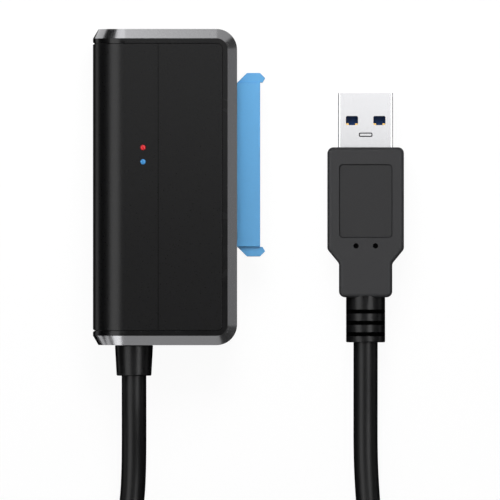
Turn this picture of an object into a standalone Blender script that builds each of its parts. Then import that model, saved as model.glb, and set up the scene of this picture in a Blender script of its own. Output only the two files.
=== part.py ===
"""USB to SATA adapter: a drive connector in a slim housing, on a short cable with a USB plug.

Metres, +Z up. The origin is on the surface under the middle of the housing and its connector.
The housing lies on its back, its round spine towards -X and its connector towards +X.
"""

import math

import bmesh
import bpy
from mathutils import Matrix, Vector

MM = 0.001

# Clearance that is kept between pieces
GAP = 0.3 * MM

# Housing
HOUSING_WIDTH = 31.5 * MM
HOUSING_LENGTH = 69.0 * MM
HOUSING_THICKNESS = 14.4 * MM
CORNER_RADIUS = 4.5 * MM
CHAMFER_RUN = 2.05 * MM
CHAMFER_DROP = 1.2 * MM
RIM_WIDTH = 3.15 * MM
WALL = 1.6 * MM
FLANGE_WALL = 0.9 * MM
SEAM_CORNER_RADIUS = 1.3 * MM
POST_RADIUS = 1.5 * MM
PANEL_GROOVE_WIDTH = 0.2 * MM
PANEL_GROOVE_DEPTH = 0.15 * MM
PANEL_GROOVE_OFFSET = 14.3 * MM

# Drive connector
CONNECTOR_REACH = 5.05 * MM
CONNECTOR_WIDTH = 35.9 * MM
CONNECTOR_THICKNESS = 5.6 * MM
CONNECTOR_SEAT = 4.5 * MM
CONNECTOR_FROM_END = 11.65 * MM
EAR_OVERHANG = 1.1 * MM
EAR_HEIGHT = 2.1 * MM
EAR_THICKNESS = 4.4 * MM
EAR_NOSE = 1.15 * MM
SLOT_HEIGHT = 2.2 * MM
SLOT_DEPTH = 5.2 * MM
SLOT_KEY_WIDTH = 1.3 * MM
SLOT_KEY_HEIGHT = 0.9 * MM
TAIL_PASSAGE_HEIGHT = 1.1 * MM
CONTACT_PITCH = 1.27 * MM
CONTACT_WIDTH = 0.7 * MM
CONTACT_THICKNESS = 0.25 * MM
CONTACT_INSET = 0.8 * MM
CONTACT_FOOT = 1.2 * MM
SIGNAL_CONTACTS = 7
POWER_CONTACTS = 15
SLOT_END_MARGIN = 1.0 * MM
CONTACT_ROW_SPACING = 6.35 * MM

# Circuit board and what it carries
BOARD_THICKNESS = 1.0 * MM
BOARD_SPINE_OVERHANG = 2.6 * MM
BOARD_BOTTOM_INSET = 9.5 * MM
BOARD_RIGHT_INSET = 3.6 * MM
COMPONENT_CLEARANCE = 1.0 * MM
CAN_RADIUS = 2.5 * MM
CAN_HEIGHT = 5.4 * MM
CAN_SPACING = 6.5 * MM
BRIDGE_CHIP_SIZE = (7.0 * MM, 7.0 * MM, 0.9 * MM)
FLASH_CHIP_SIZE = (4.9 * MM, 3.9 * MM, 1.5 * MM)
REGULATOR_SIZE = (6.5 * MM, 3.5 * MM, 1.7 * MM)
CRYSTAL_SIZE = (3.2 * MM, 5.0 * MM, 1.1 * MM)
INDUCTOR_SIZE = (5.0 * MM, 5.0 * MM, 3.0 * MM)
BRIDGE_CHIP_OFFSET = 10.9 * MM
FLASH_CHIP_OFFSET = 0.9 * MM
REGULATOR_CLEARANCE = 2.9 * MM
CRYSTAL_Y = -8.0 * MM
INDUCTOR_Y = 18.0 * MM
LED_OFFSET = 10.99 * MM
LED_RED_Y = 8.63 * MM
LED_BLUE_Y = 5.51 * MM
LED_SIZE = (1.6 * MM, 0.9 * MM, 0.8 * MM)
LIGHT_PIPE_RADIUS = 0.58 * MM
LIGHT_PIPE_FOOT_RADIUS = 1.1 * MM
LIGHT_PIPE_FOOT_HEIGHT = 1.5 * MM
LIGHT_PIPE_CLEARANCE = 0.12 * MM

# Cable, its gland and its cores
CABLE_RADIUS = 2.7 * MM
GLAND_OFFSET = 8.97 * MM
GLAND_LENGTH = 6.7 * MM
GLAND_BASE_RADIUS = 4.17 * MM
GLAND_TIP_RADIUS = 3.8 * MM
GLAND_NECK_RADIUS = 3.1 * MM
GLAND_COLLAR_RADIUS = 3.7 * MM
GLAND_COLLAR_LENGTH = 1.4 * MM
WIRE_RADIUS = 0.45 * MM
WIRE_SPACING = 1.9 * MM
WIRE_FAN = 1.6
WIRE_OVERLAP = 2.0 * MM

# Coil of the cable that the photograph does not show
COIL_MEAN_RADIUS = 27.2 * MM
COIL_CENTRE = Vector((15.47, -103.0, 0)) * MM
TIE_THICKNESS = 0.5 * MM
TIE_WIDTH = 5.0 * MM
TIE_CLEARANCE = 0.15 * MM

# USB plug
PLUG_X = 40.79 * MM
PLUG_FRONT_Y = 8.72 * MM
GRIP_WIDTH = 16.7 * MM
GRIP_THICKNESS = 8.8 * MM
GRIP_LENGTH = 22.3 * MM
GRIP_NECK_WIDTH = 11.6 * MM
GRIP_TAPER = 3.1 * MM
GRIP_NECK_LENGTH = 7.4 * MM
GRIP_EDGE_RADIUS = 0.9 * MM
RELIEF_RADIUS = 4.27 * MM
RELIEF_LENGTH = 9.84 * MM
RELIEF_GROOVES = 3
RELIEF_GROOVE_WIDTH = 0.9 * MM
RELIEF_GROOVE_DEPTH = 1.45 * MM
RELIEF_WEB = 1.4 * MM
RELIEF_GROOVE_PITCH = 2.47 * MM
RELIEF_FIRST_GROOVE = 3.1 * MM
RECESS_WIDTH = 11.25 * MM
RECESS_LENGTH = 15.7 * MM
RECESS_DEPTH = 0.3 * MM
RECESS_FROM_FRONT = 3.9 * MM
DIMPLE_RADIUS = 0.58 * MM
DIMPLE_DEPTH = 0.6 * MM
DIMPLE_SPACING = 4.24 * MM
DIMPLE_FROM_RECESS = 1.95 * MM
SHELL_WIDTH = 12.0 * MM
SHELL_THICKNESS = 4.5 * MM
SHELL_WALL = 0.35 * MM
SHELL_LENGTH = 11.85 * MM
SHELL_SEAT = 6.5 * MM
SHELL_CORNER_RADIUS = 0.7 * MM
WINDOW_WIDTH = 2.65 * MM
WINDOW_LENGTH = 2.0 * MM
WINDOW_SPACING = 6.0 * MM
WINDOW_FROM_TIP = 6.0 * MM
TONGUE_THICKNESS = 1.6 * MM
TONGUE_TIP_INSET = 0.7 * MM
TONGUE_ROOT_LENGTH = 5.0 * MM
USB_CONTACT_OFFSETS = (-3.5 * MM, -1.0 * MM, 1.0 * MM, 3.5 * MM)
USB_CONTACT_SIZE = (1.0 * MM, 3.2 * MM, 0.2 * MM)
USB_CONTACT_INSET = 1.0 * MM
FAST_CONTACT_INSET = 4.9 * MM
FAST_CONTACT_PITCH = 2.0 * MM
FAST_CONTACT_SIZE = (0.6 * MM, 3.6 * MM, 0.45 * MM)

# Facets: steps round the housing's spine, a quarter corner, small and large turned pieces
SPINE_STEPS = 20
CORNER_STEPS = 5
TURNED_STEPS = 24
COIL_STEPS = 48

# Places worked out from the sizes above
LEFT = -(HOUSING_WIDTH + CONNECTOR_REACH + EAR_OVERHANG) / 2
RIGHT = LEFT + HOUSING_WIDTH
HALF_LENGTH = HOUSING_LENGTH / 2
SPINE_RADIUS = HOUSING_THICKNESS / 2
SPINE_X = LEFT + SPINE_RADIUS
MID_Z = SPINE_RADIUS
FLANGE_INSET = WALL + GAP
RIM_DEPTH = FLANGE_INSET + FLANGE_WALL
BOARD_BOTTOM = RIM_DEPTH + GAP
BOARD_TOP = BOARD_BOTTOM + BOARD_THICKNESS
BOARD_LEFT = SPINE_X - BOARD_SPINE_OVERHANG
BOARD_LOW_Y = -HALF_LENGTH + BOARD_BOTTOM_INSET
BOARD_HIGH_Y = HALF_LENGTH - RIM_WIDTH - WALL - 2 * GAP
BOARD_RIGHT = RIGHT - BOARD_RIGHT_INSET
ON_BOARD = BOARD_TOP + GAP
CONNECTOR_FACE = RIGHT + CONNECTOR_REACH
CONNECTOR_REAR = RIGHT - RIM_WIDTH - GAP + WALL - CONNECTOR_SEAT
CONTACT_FEET_X = CONNECTOR_REAR - GAP - CONTACT_FOOT
LED_X = LEFT + LED_OFFSET
CONNECTOR_Y = HALF_LENGTH - CONNECTOR_FROM_END - CONNECTOR_WIDTH / 2
BRIDGE_CHIP_Y = CONNECTOR_Y - BRIDGE_CHIP_OFFSET
FLASH_CHIP_Y = CONNECTOR_Y - FLASH_CHIP_OFFSET
CAN_HIGH_Y = BOARD_HIGH_Y - COMPONENT_CLEARANCE - CAN_RADIUS
CAN_LOW_Y = CAN_HIGH_Y - CAN_SPACING
REGULATOR_Y = CAN_LOW_Y - CAN_RADIUS - REGULATOR_CLEARANCE - REGULATOR_SIZE[1] / 2
CONNECTOR_MID_Z = ON_BOARD + CONNECTOR_THICKNESS / 2
GLAND_X = LEFT + GLAND_OFFSET
GLAND_TIP_Y = -HALF_LENGTH - GLAND_LENGTH
PLUG_Z = GRIP_THICKNESS / 2
GRIP_END_Y = PLUG_FRONT_Y - GRIP_LENGTH - GRIP_TAPER - GRIP_NECK_LENGTH
RELIEF_END_Y = GRIP_END_Y - RELIEF_LENGTH
SHELL_TIP_Y = PLUG_FRONT_Y + SHELL_LENGTH
COIL_BASE = TIE_THICKNESS + TIE_CLEARANCE
COIL_INNER = COIL_MEAN_RADIUS - 2 * CABLE_RADIUS
COIL_OUTER = COIL_MEAN_RADIUS + 2 * CABLE_RADIUS
COIL_TOP = COIL_BASE + 4 * CABLE_RADIUS

BLACK_PLASTIC = ((0.018, 0.018, 0.019), 0.38, 0.0)
GUNMETAL = ((0.12, 0.12, 0.125), 0.22, 1.0)
CONNECTOR_BLUE = ((0.122, 0.371, 0.672), 0.45, 0.0)
CONTACT_GOLD = ((0.83, 0.62, 0.28), 0.25, 1.0)
STEEL = ((0.80, 0.80, 0.81), 0.25, 1.0)
BOARD_GREEN = ((0.02, 0.13, 0.05), 0.5, 0.0)
CHIP_BLACK = ((0.02, 0.02, 0.022), 0.55, 0.0)
TIN = ((0.62, 0.62, 0.62), 0.35, 1.0)
TONGUE_BLUE = ((0.03, 0.10, 0.30), 0.5, 0.0)
RUBBER_BLACK = ((0.022, 0.022, 0.023), 0.55, 0.0)


def clear_scene():
    """Remove every object, so the model starts from nothing."""
    for item in list(bpy.data.objects):
        bpy.data.objects.remove(item, do_unlink=True)


def new_collection(name):
    group = bpy.data.collections.new(name)
    bpy.context.scene.collection.children.link(group)
    return group


clear_scene()
PARTS = new_collection("usb_to_sata_adapter")
CUTTERS = new_collection("cutters")


def finish(item, look):
    """Give a piece its own material and shade its round faces smooth."""
    colour, roughness, metallic = look
    material = bpy.data.materials.new(item.name)
    material.use_nodes = True
    shader = material.node_tree.nodes["Principled BSDF"]
    shader.inputs["Base Color"].default_value = (*colour, 1)
    shader.inputs["Roughness"].default_value = roughness
    shader.inputs["Metallic"].default_value = metallic
    item.data.materials.append(material)
    if item.type == "MESH":
        item.data.shade_smooth()
        item.data.set_sharp_from_angle(angle=math.radians(35))
    return item


def mesh_object(name, bm, group=PARTS):
    """Turn a bmesh into an object, its faces pointing out."""
    bmesh.ops.recalc_face_normals(bm, faces=bm.faces)
    mesh = bpy.data.meshes.new(name)
    bm.to_mesh(mesh)
    bm.free()
    item = bpy.data.objects.new(name, mesh)
    group.objects.link(item)
    return item


def boolean(target, tool, operation):
    """Cut or join a piece with another, which becomes a hidden cutter."""
    modifier = target.modifiers.new(tool.name, "BOOLEAN")
    modifier.object = tool
    modifier.operation = operation
    modifier.solver = "EXACT"
    for group in list(tool.users_collection):
        group.objects.unlink(tool)
    CUTTERS.objects.link(tool)
    tool.hide_render = True
    tool.hide_set(True)
    tool.display_type = "WIRE"


def cut(target, *tools):
    for tool in tools:
        boolean(target, tool, "DIFFERENCE")


def join(target, *tools):
    for tool in tools:
        boolean(target, tool, "UNION")


def box_bmesh(low, high):
    """A box between two corners."""
    bm = bmesh.new()
    bmesh.ops.create_cube(bm, size=1)
    low = Vector(low)
    high = Vector(high)
    bmesh.ops.scale(bm, vec=high - low, verts=bm.verts)
    bmesh.ops.translate(bm, vec=(low + high) / 2, verts=bm.verts)
    return bm


def box(name, low, high):
    return mesh_object(name, box_bmesh(low, high))


def box_on_board(name, centre_x, centre_y, size):
    """A component of a given size that sits on the board."""
    width, length, height = size
    low = (centre_x - width / 2, centre_y - length / 2, ON_BOARD)
    high = (centre_x + width / 2, centre_y + length / 2, ON_BOARD + height)
    return box(name, low, high)


def cylinder(name, centre, radius, length, axis="Z", steps=TURNED_STEPS):
    """A cylinder about its centre, along Y or Z."""
    bm = bmesh.new()
    bmesh.ops.create_cone(bm, cap_ends=True, segments=steps, radius1=radius, radius2=radius, depth=length)
    if axis == "Y":
        bmesh.ops.rotate(bm, verts=bm.verts, cent=(0, 0, 0), matrix=Matrix.Rotation(math.pi / 2, 3, "X"))
    bmesh.ops.translate(bm, vec=Vector(centre), verts=bm.verts)
    return mesh_object(name, bm)


def turned(name, profile, place, axis="Z", steps=TURNED_STEPS, closed=False):
    """A solid turned from (radius, height) points that run from the top down its outer side."""
    bm = bmesh.new()
    verts = [bm.verts.new((radius, 0, height)) for radius, height in profile]
    for first, second in zip(verts, verts[1:] + verts[:1] if closed else verts[1:]):
        bm.edges.new((first, second))
    item = mesh_object(name, bm)
    item.location = place
    if axis == "Y":
        item.rotation_euler = (-math.pi / 2, 0, 0)
    turn = item.modifiers.new("turn", "SCREW")
    turn.angle = 2 * math.pi
    turn.steps = steps
    turn.render_steps = steps
    turn.use_merge_vertices = True
    turn.merge_threshold = 0.001 * MM
    return item


def flat_outline(name, outline, thickness):
    """A flat outline of (x, y) points as a filled curve of some thickness, made a bmesh about Z = 0."""
    curve = bpy.data.curves.new(name, "CURVE")
    curve.dimensions = "2D"
    curve.fill_mode = "BOTH"
    curve.extrude = thickness / 2
    spline = curve.splines.new("POLY")
    spline.points.add(len(outline) - 1)
    for slot, (x, y) in zip(spline.points, outline):
        slot.co = (x, y, 0, 1)
    spline.use_cyclic_u = True
    drawn = bpy.data.objects.new(name + "_outline", curve)
    bm = bmesh.new()
    bm.from_mesh(bpy.data.meshes.new_from_object(drawn))
    bpy.data.objects.remove(drawn)
    bmesh.ops.remove_doubles(bm, verts=bm.verts, dist=0.001 * MM)
    bmesh.ops.dissolve_limit(bm, angle_limit=math.radians(1), verts=bm.verts, edges=bm.edges)
    bmesh.ops.recalc_face_normals(bm, faces=bm.faces)
    return bm


def prism(name, outline, low_z, high_z):
    """A flat outline of (x, y) points, raised from one height to another."""
    bm = flat_outline(name, outline, high_z - low_z)
    bmesh.ops.translate(bm, vec=(0, 0, (low_z + high_z) / 2), verts=bm.verts)
    return mesh_object(name, bm)


def upright(bm, middle_y=0):
    """Stand a flat outline up, so that its own height runs along Z and its thickness along Y."""
    bmesh.ops.rotate(bm, verts=bm.verts, cent=(0, 0, 0), matrix=Matrix.Rotation(math.pi / 2, 3, "X"))
    bmesh.ops.translate(bm, vec=(0, middle_y, 0), verts=bm.verts)


def tube(name, points, radius, look, resolution=3):
    """A round cord along a list of points."""
    curve = bpy.data.curves.new(name, "CURVE")
    curve.dimensions = "3D"
    curve.bevel_depth = radius
    curve.bevel_resolution = resolution
    curve.use_fill_caps = True
    spline = curve.splines.new("POLY")
    spline.points.add(len(points) - 1)
    for slot, point in zip(spline.points, points):
        slot.co = (*point, 1)
    item = bpy.data.objects.new(name, curve)
    PARTS.objects.link(item)
    return finish(item, look)


def smooth_route(route, steps):
    """Points of a smooth curve through the route's own points."""
    padded = [2 * route[0] - route[1]] + route + [2 * route[-1] - route[-2]]
    points = []
    for index in range(1, len(padded) - 2):
        before, start, end, after = padded[index - 1:index + 3]
        for step in range(steps):
            t = step / steps
            bend = 2 * start + (end - before) * t
            bend += (2 * before - 5 * start + 4 * end - after) * t ** 2
            bend += (3 * start - before - 3 * end + after) * t ** 3
            points.append(bend / 2)
    points.append(route[-1])
    return points


def section_outline(radius, right):
    """The housing's section, or one drawn in from it: a half round spine and a flat side on the right."""
    outline = []
    for step in range(SPINE_STEPS + 1):
        angle = math.pi / 2 + math.pi * step / SPINE_STEPS
        outline.append((SPINE_X + radius * math.cos(angle), MID_Z + radius * math.sin(angle)))
    return outline + [(right, MID_Z - radius), (right, MID_Z + radius)]


def section_bar(name, inset, half_length, right, corner):
    """A length of the housing's section, drawn in by an inset, with two round corners on the right."""
    radius = SPINE_RADIUS - inset
    bm = flat_outline(name, section_outline(radius, right), 2 * half_length)
    upright(bm)
    standing = []
    for edge in bm.edges:
        first, second = (vert.co for vert in edge.verts)
        on_right = min(first.x, second.x) > right - GAP / 10
        if on_right and abs(first.z - second.z) > radius:
            standing.append(edge)
    bmesh.ops.bevel(
        bm, geom=standing, offset=corner, segments=CORNER_STEPS, profile=0.5, affect="EDGES", material=-1)
    return mesh_object(name, bm)


def chamfer_ends(bm, axis, middle, inset, rise):
    """Raise the many-sided ends of a bar along an axis, each drawn in as it rises."""
    for end in [one for one in bm.faces if len(one.verts) > 4]:
        direction = Vector((0, 0, 0))
        direction[axis] = math.copysign(1, end.calc_center_median()[axis] - middle)
        bmesh.ops.inset_region(bm, faces=[end], thickness=inset, use_even_offset=True)
        bmesh.ops.translate(bm, vec=direction * rise, verts=end.verts)


def frame_outside():
    """The frame before it is hollowed: the housing's section with every end and right edge chamfered."""
    bm = flat_outline(
        "trim_frame", section_outline(SPINE_RADIUS, RIGHT + HOUSING_THICKNESS),
        2 * (HALF_LENGTH - CHAMFER_RUN))
    upright(bm)
    chamfer_ends(bm, 1, 0, CHAMFER_DROP, CHAMFER_RUN)
    bar = mesh_object("trim_frame", bm)

    # The plan flares past the bar's ends, so only its right side and its corners cut the bar
    flare = 2 * CORNER_RADIUS
    outline = []
    for step in range(CORNER_STEPS + 1):
        angle = math.pi / 2 * (step / CORNER_STEPS - 1)
        outline.append((RIGHT - CORNER_RADIUS + CORNER_RADIUS * math.cos(angle),
                        -HALF_LENGTH + CORNER_RADIUS + CORNER_RADIUS * math.sin(angle)))
    outline += [(x, -y) for x, y in reversed(outline)]
    outline += [(LEFT - flare, HALF_LENGTH + flare), (LEFT - flare, -HALF_LENGTH - flare)]
    bm = flat_outline("plan_of_frame", outline, HOUSING_THICKNESS - 2 * CHAMFER_DROP)
    chamfer_ends(bm, 2, 0, CHAMFER_RUN, CHAMFER_DROP)
    bmesh.ops.translate(bm, vec=(0, 0, MID_Z), verts=bm.verts)
    boolean(bar, mesh_object("plan_of_frame", bm), "INTERSECT")
    return bar


def connector_box(name, left, right, grow):
    """A block of the drive connector's width and thickness, grown all round."""
    return box(
        name,
        (left, CONNECTOR_Y - CONNECTOR_WIDTH / 2 - grow, ON_BOARD - grow),
        (right, CONNECTOR_Y + CONNECTOR_WIDTH / 2 + grow, ON_BOARD + CONNECTOR_THICKNESS + grow))


def build_trim_frame():
    """The gunmetal frame: two end caps and the right side, a channel that holds the covers' flanges."""
    frame = frame_outside()
    cut(frame,
        section_bar("cover_window", -WALL, HALF_LENGTH - RIM_WIDTH, RIGHT - RIM_WIDTH, SEAM_CORNER_RADIUS),
        section_bar("flange_channel", WALL, HALF_LENGTH - WALL, RIGHT - WALL, CORNER_RADIUS - WALL),
        connector_box("connector_opening", RIGHT - RIM_WIDTH, RIGHT + WALL, GAP),
        cylinder("gland_hole", (GLAND_X, -HALF_LENGTH, MID_Z), GLAND_NECK_RADIUS + GAP, 4 * WALL, "Y"))
    return finish(frame, GUNMETAL)


def build_cover(name, front):
    """A black cover: a panel with half of the spine, and a flange that runs in the frame's channel."""
    skin_half = HALF_LENGTH - RIM_WIDTH - GAP
    skin_right = RIGHT - RIM_WIDTH - GAP
    cover = section_bar(name, 0, skin_half, skin_right, SEAM_CORNER_RADIUS - GAP)
    flange = section_bar(
        name + "_flange", FLANGE_INSET, HALF_LENGTH - WALL - GAP, RIGHT - WALL - GAP,
        CORNER_RADIUS - WALL - GAP)
    join(cover, flange)
    cut(cover,
        section_bar(name + "_pocket", WALL, skin_half - WALL, skin_right - WALL, SEAM_CORNER_RADIUS),
        section_bar(name + "_hollow", RIM_DEPTH, HOUSING_LENGTH, RIGHT + RIM_DEPTH, SEAM_CORNER_RADIUS))
    far = HOUSING_LENGTH
    if front:
        cut(cover, box(name + "_half", (-far, -far, -far), (far, far, MID_Z + GAP / 2)))
    else:
        cut(cover, box(name + "_half", (-far, -far, MID_Z - GAP / 2), (far, far, far)))
    return cover


POSTS = (
    (SPINE_X, BOARD_HIGH_Y - 2 * POST_RADIUS),
    (SPINE_X, BOARD_LOW_Y + 6 * POST_RADIUS),
    (RIGHT - RIM_WIDTH - 5 * POST_RADIUS, BOARD_LOW_Y + 2 * POST_RADIUS),
)


def build_front_cover():
    """The front cover, with posts that press on the board and holes for the light pipes."""
    cover = build_cover("front_cover", True)
    inside = HOUSING_THICKNESS - WALL / 2
    for index, (x, y) in enumerate(POSTS):
        height = inside - ON_BOARD
        join(cover, cylinder(f"front_post_{index}", (x, y, ON_BOARD + height / 2), POST_RADIUS, height))
    hole = LIGHT_PIPE_RADIUS + LIGHT_PIPE_CLEARANCE
    for index, y in enumerate((LED_RED_Y, LED_BLUE_Y)):
        cut(cover, cylinder(f"light_hole_{index}", (LED_X, y, HOUSING_THICKNESS), hole, 4 * WALL))
    middle = LEFT + PANEL_GROOVE_OFFSET
    half = PANEL_GROOVE_WIDTH / 2
    cut(cover, box(
        "panel_groove",
        (middle - half, -HALF_LENGTH, HOUSING_THICKNESS - PANEL_GROOVE_DEPTH),
        (middle + half, HALF_LENGTH, HOUSING_THICKNESS + WALL)))
    return finish(cover, BLACK_PLASTIC)


def build_rear_cover():
    """The rear cover, with posts that carry the board."""
    cover = build_cover("rear_cover", False)
    for index, (x, y) in enumerate(POSTS):
        height = BOARD_BOTTOM - GAP - WALL / 2
        join(cover, cylinder(f"rear_post_{index}", (x, y, WALL / 2 + height / 2), POST_RADIUS, height))
    return finish(cover, BLACK_PLASTIC)


def contact_rows():
    """The drive connector's two rows as (name, count, y of the lowest contact)."""
    signal_span = (SIGNAL_CONTACTS - 1) * CONTACT_PITCH
    power_span = (POWER_CONTACTS - 1) * CONTACT_PITCH
    first = CONNECTOR_Y - (signal_span + CONTACT_ROW_SPACING + power_span) / 2
    return (
        ("sata_signal_contact", SIGNAL_CONTACTS, first),
        ("sata_power_contact", POWER_CONTACTS, first + signal_span + CONTACT_ROW_SPACING),
    )


def ear_outline(side):
    """Plan of one guide ear, from the housing round its sloped shoulder to the nose and back."""
    body = CONNECTOR_WIDTH / 2
    start = RIGHT + GAP
    face = CONNECTOR_FACE
    tip = face + EAR_OVERHANG
    inside = body - EAR_HEIGHT
    points = [
        (start, inside), (start, body), (start + EAR_HEIGHT, body + EAR_HEIGHT),
        (tip - EAR_NOSE, body + EAR_HEIGHT), (tip, body + EAR_HEIGHT - EAR_NOSE),
        (tip - EAR_NOSE / 2, body), (face, body), (face - EAR_OVERHANG, inside)]
    return [(x, CONNECTOR_Y + side * y) for x, y in points]


def build_sata_connector():
    """The blue drive connector: a block with two keyed slots and a guide ear at each end."""
    rear = CONNECTOR_REAR
    face = CONNECTOR_FACE
    connector = connector_box("sata_connector", rear, face, 0)
    for side in (-1, 1):
        join(connector, prism(
            f"ear_{side + 1}", ear_outline(side),
            CONNECTOR_MID_Z - EAR_THICKNESS / 2, CONNECTOR_MID_Z + EAR_THICKNESS / 2))
    slot_low = CONNECTOR_MID_Z - SLOT_HEIGHT / 2
    for name, count, first in contact_rows():
        low_y = first - CONTACT_PITCH / 2 - SLOT_END_MARGIN
        high_y = first + (count - 0.5) * CONTACT_PITCH + SLOT_END_MARGIN
        key_y = high_y - SLOT_KEY_WIDTH if name == "sata_signal_contact" else low_y
        cut(connector,
            box(name + "_slot", (face - SLOT_DEPTH, low_y, slot_low),
                (face + WALL, high_y, slot_low + SLOT_HEIGHT)),
            box(name + "_key", (face - SLOT_DEPTH, key_y, slot_low + SLOT_HEIGHT / 2),
                (face + WALL, key_y + SLOT_KEY_WIDTH, slot_low + SLOT_HEIGHT + SLOT_KEY_HEIGHT)),
            box(name + "_passage", (rear - WALL, first - CONTACT_PITCH, slot_low),
                (face - SLOT_DEPTH / 2, first + count * CONTACT_PITCH, slot_low + TAIL_PASSAGE_HEIGHT)))
    return finish(connector, CONNECTOR_BLUE)


def build_sata_contacts():
    """The drive connector's contacts: a blade in the slot, and a tail bent down to the board."""
    front = CONNECTOR_FACE - CONTACT_INSET
    blade = CONNECTOR_MID_Z - SLOT_HEIGHT / 2 + GAP
    thick = CONTACT_THICKNESS
    bend = CONNECTOR_REAR - GAP
    outline = [
        (front, blade), (front, blade + thick), (bend - thick, blade + thick),
        (bend - thick, ON_BOARD + thick), (CONTACT_FEET_X, ON_BOARD + thick),
        (CONTACT_FEET_X, ON_BOARD), (bend, ON_BOARD), (bend, blade)]
    for name, count, first in contact_rows():
        for index in range(count):
            bm = flat_outline(name, outline, CONTACT_WIDTH)
            upright(bm, first + index * CONTACT_PITCH)
            finish(mesh_object(f"{name}_{index + 1}", bm), CONTACT_GOLD)


def build_board():
    """The circuit board, which rests on the rear cover's rim and posts."""
    board = box(
        "circuit_board",
        (BOARD_LEFT, BOARD_LOW_Y, BOARD_BOTTOM),
        (BOARD_RIGHT, BOARD_HIGH_Y, BOARD_TOP))
    finish(board, BOARD_GREEN)
    for name, y, size in (
            ("bridge_chip", BRIDGE_CHIP_Y, BRIDGE_CHIP_SIZE),
            ("flash_chip", FLASH_CHIP_Y, FLASH_CHIP_SIZE),
            ("regulator", REGULATOR_Y, REGULATOR_SIZE)):
        beside_feet = CONTACT_FEET_X - COMPONENT_CLEARANCE - size[0] / 2
        finish(box_on_board(name, beside_feet, y, size), CHIP_BLACK)
    finish(box_on_board("crystal", LED_X, CRYSTAL_Y, CRYSTAL_SIZE), TIN)
    finish(box_on_board("power_inductor", LED_X, INDUCTOR_Y, INDUCTOR_SIZE), CHIP_BLACK)
    can_x = CONTACT_FEET_X - COMPONENT_CLEARANCE - CAN_RADIUS
    for index, y in enumerate((CAN_LOW_Y, CAN_HIGH_Y)):
        place = (can_x, y, ON_BOARD + CAN_HEIGHT / 2)
        can = cylinder(f"capacitor_{index + 1}", place, CAN_RADIUS, CAN_HEIGHT)
        finish(can, TIN)


def build_lights():
    """Two lamps on the board, and the clear pipes that carry their light to the panel."""
    for colour, y, look in (
            ("red", LED_RED_Y, ((0.76, 0.02, 0.03), 0.3, 0.0)),
            ("blue", LED_BLUE_Y, ((0.08, 0.33, 0.63), 0.3, 0.0))):
        finish(box_on_board("led_" + colour, LED_X, y, LED_SIZE), look)
        foot = ON_BOARD + LED_SIZE[2] + GAP
        shoulder = HOUSING_THICKNESS - WALL - GAP
        pipe = turned("light_pipe_" + colour, [
            (0, HOUSING_THICKNESS), (LIGHT_PIPE_RADIUS, HOUSING_THICKNESS), (LIGHT_PIPE_RADIUS, shoulder),
            (LIGHT_PIPE_FOOT_RADIUS, shoulder), (LIGHT_PIPE_FOOT_RADIUS, shoulder - LIGHT_PIPE_FOOT_HEIGHT),
            (LIGHT_PIPE_RADIUS, shoulder - LIGHT_PIPE_FOOT_HEIGHT), (LIGHT_PIPE_RADIUS, foot), (0, foot)],
            (LED_X, y, 0))
        finish(pipe, look)


def build_gland():
    """The moulded gland: a tapered relief outside the cap, a neck through it and a collar inside."""
    outside = -HALF_LENGTH - GAP
    inside = -HALF_LENGTH + WALL + GAP
    profile = [
        (0, inside + GLAND_COLLAR_LENGTH), (GLAND_COLLAR_RADIUS, inside + GLAND_COLLAR_LENGTH),
        (GLAND_COLLAR_RADIUS, inside), (GLAND_NECK_RADIUS, inside), (GLAND_NECK_RADIUS, outside),
        (GLAND_BASE_RADIUS, outside), (GLAND_TIP_RADIUS, GLAND_TIP_Y + GAP),
        (GLAND_TIP_RADIUS - GAP, GLAND_TIP_Y), (0, GLAND_TIP_Y)]
    return finish(turned("cable_gland", profile, (GLAND_X, 0, MID_Z), "Y"), RUBBER_BLACK)


def build_wires():
    """The cable's cores, from the gland's inner face down to the board."""
    start_y = -HALF_LENGTH + WALL + 2 * GAP + GLAND_COLLAR_LENGTH
    end_z = ON_BOARD + WIRE_RADIUS
    end_y = BOARD_LOW_Y + WIRE_OVERLAP
    colours = ((0.5, 0.02, 0.02), (0.02, 0.02, 0.02), (0.02, 0.25, 0.05), (0.7, 0.7, 0.7))
    for index, colour in enumerate(colours):
        side = 1 if index % 2 else -1
        level = 1 if index < 2 else -1
        spread = side * (WIRE_SPACING if level > 0 else WIRE_SPACING / 2)
        start = Vector((GLAND_X + side * WIRE_SPACING / 2, start_y, MID_Z + level * WIRE_SPACING / 2))
        end = Vector((GLAND_X + WIRE_FAN * spread, end_y - (WIRE_SPACING if level > 0 else 0), end_z))
        route = [start]
        for share in (0.2, 0.4, 0.6, 0.8):
            blend = share * share * (3 - 2 * share)
            route.append(Vector((
                start.x + (end.x - start.x) * blend, start.y + (end.y - start.y) * share,
                start.z + (end.z - start.z) * blend)))
        route.append(end)
        tube(f"wire_{index + 1}", route, WIRE_RADIUS, (colour, 0.5, 0.0), 2)


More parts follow.
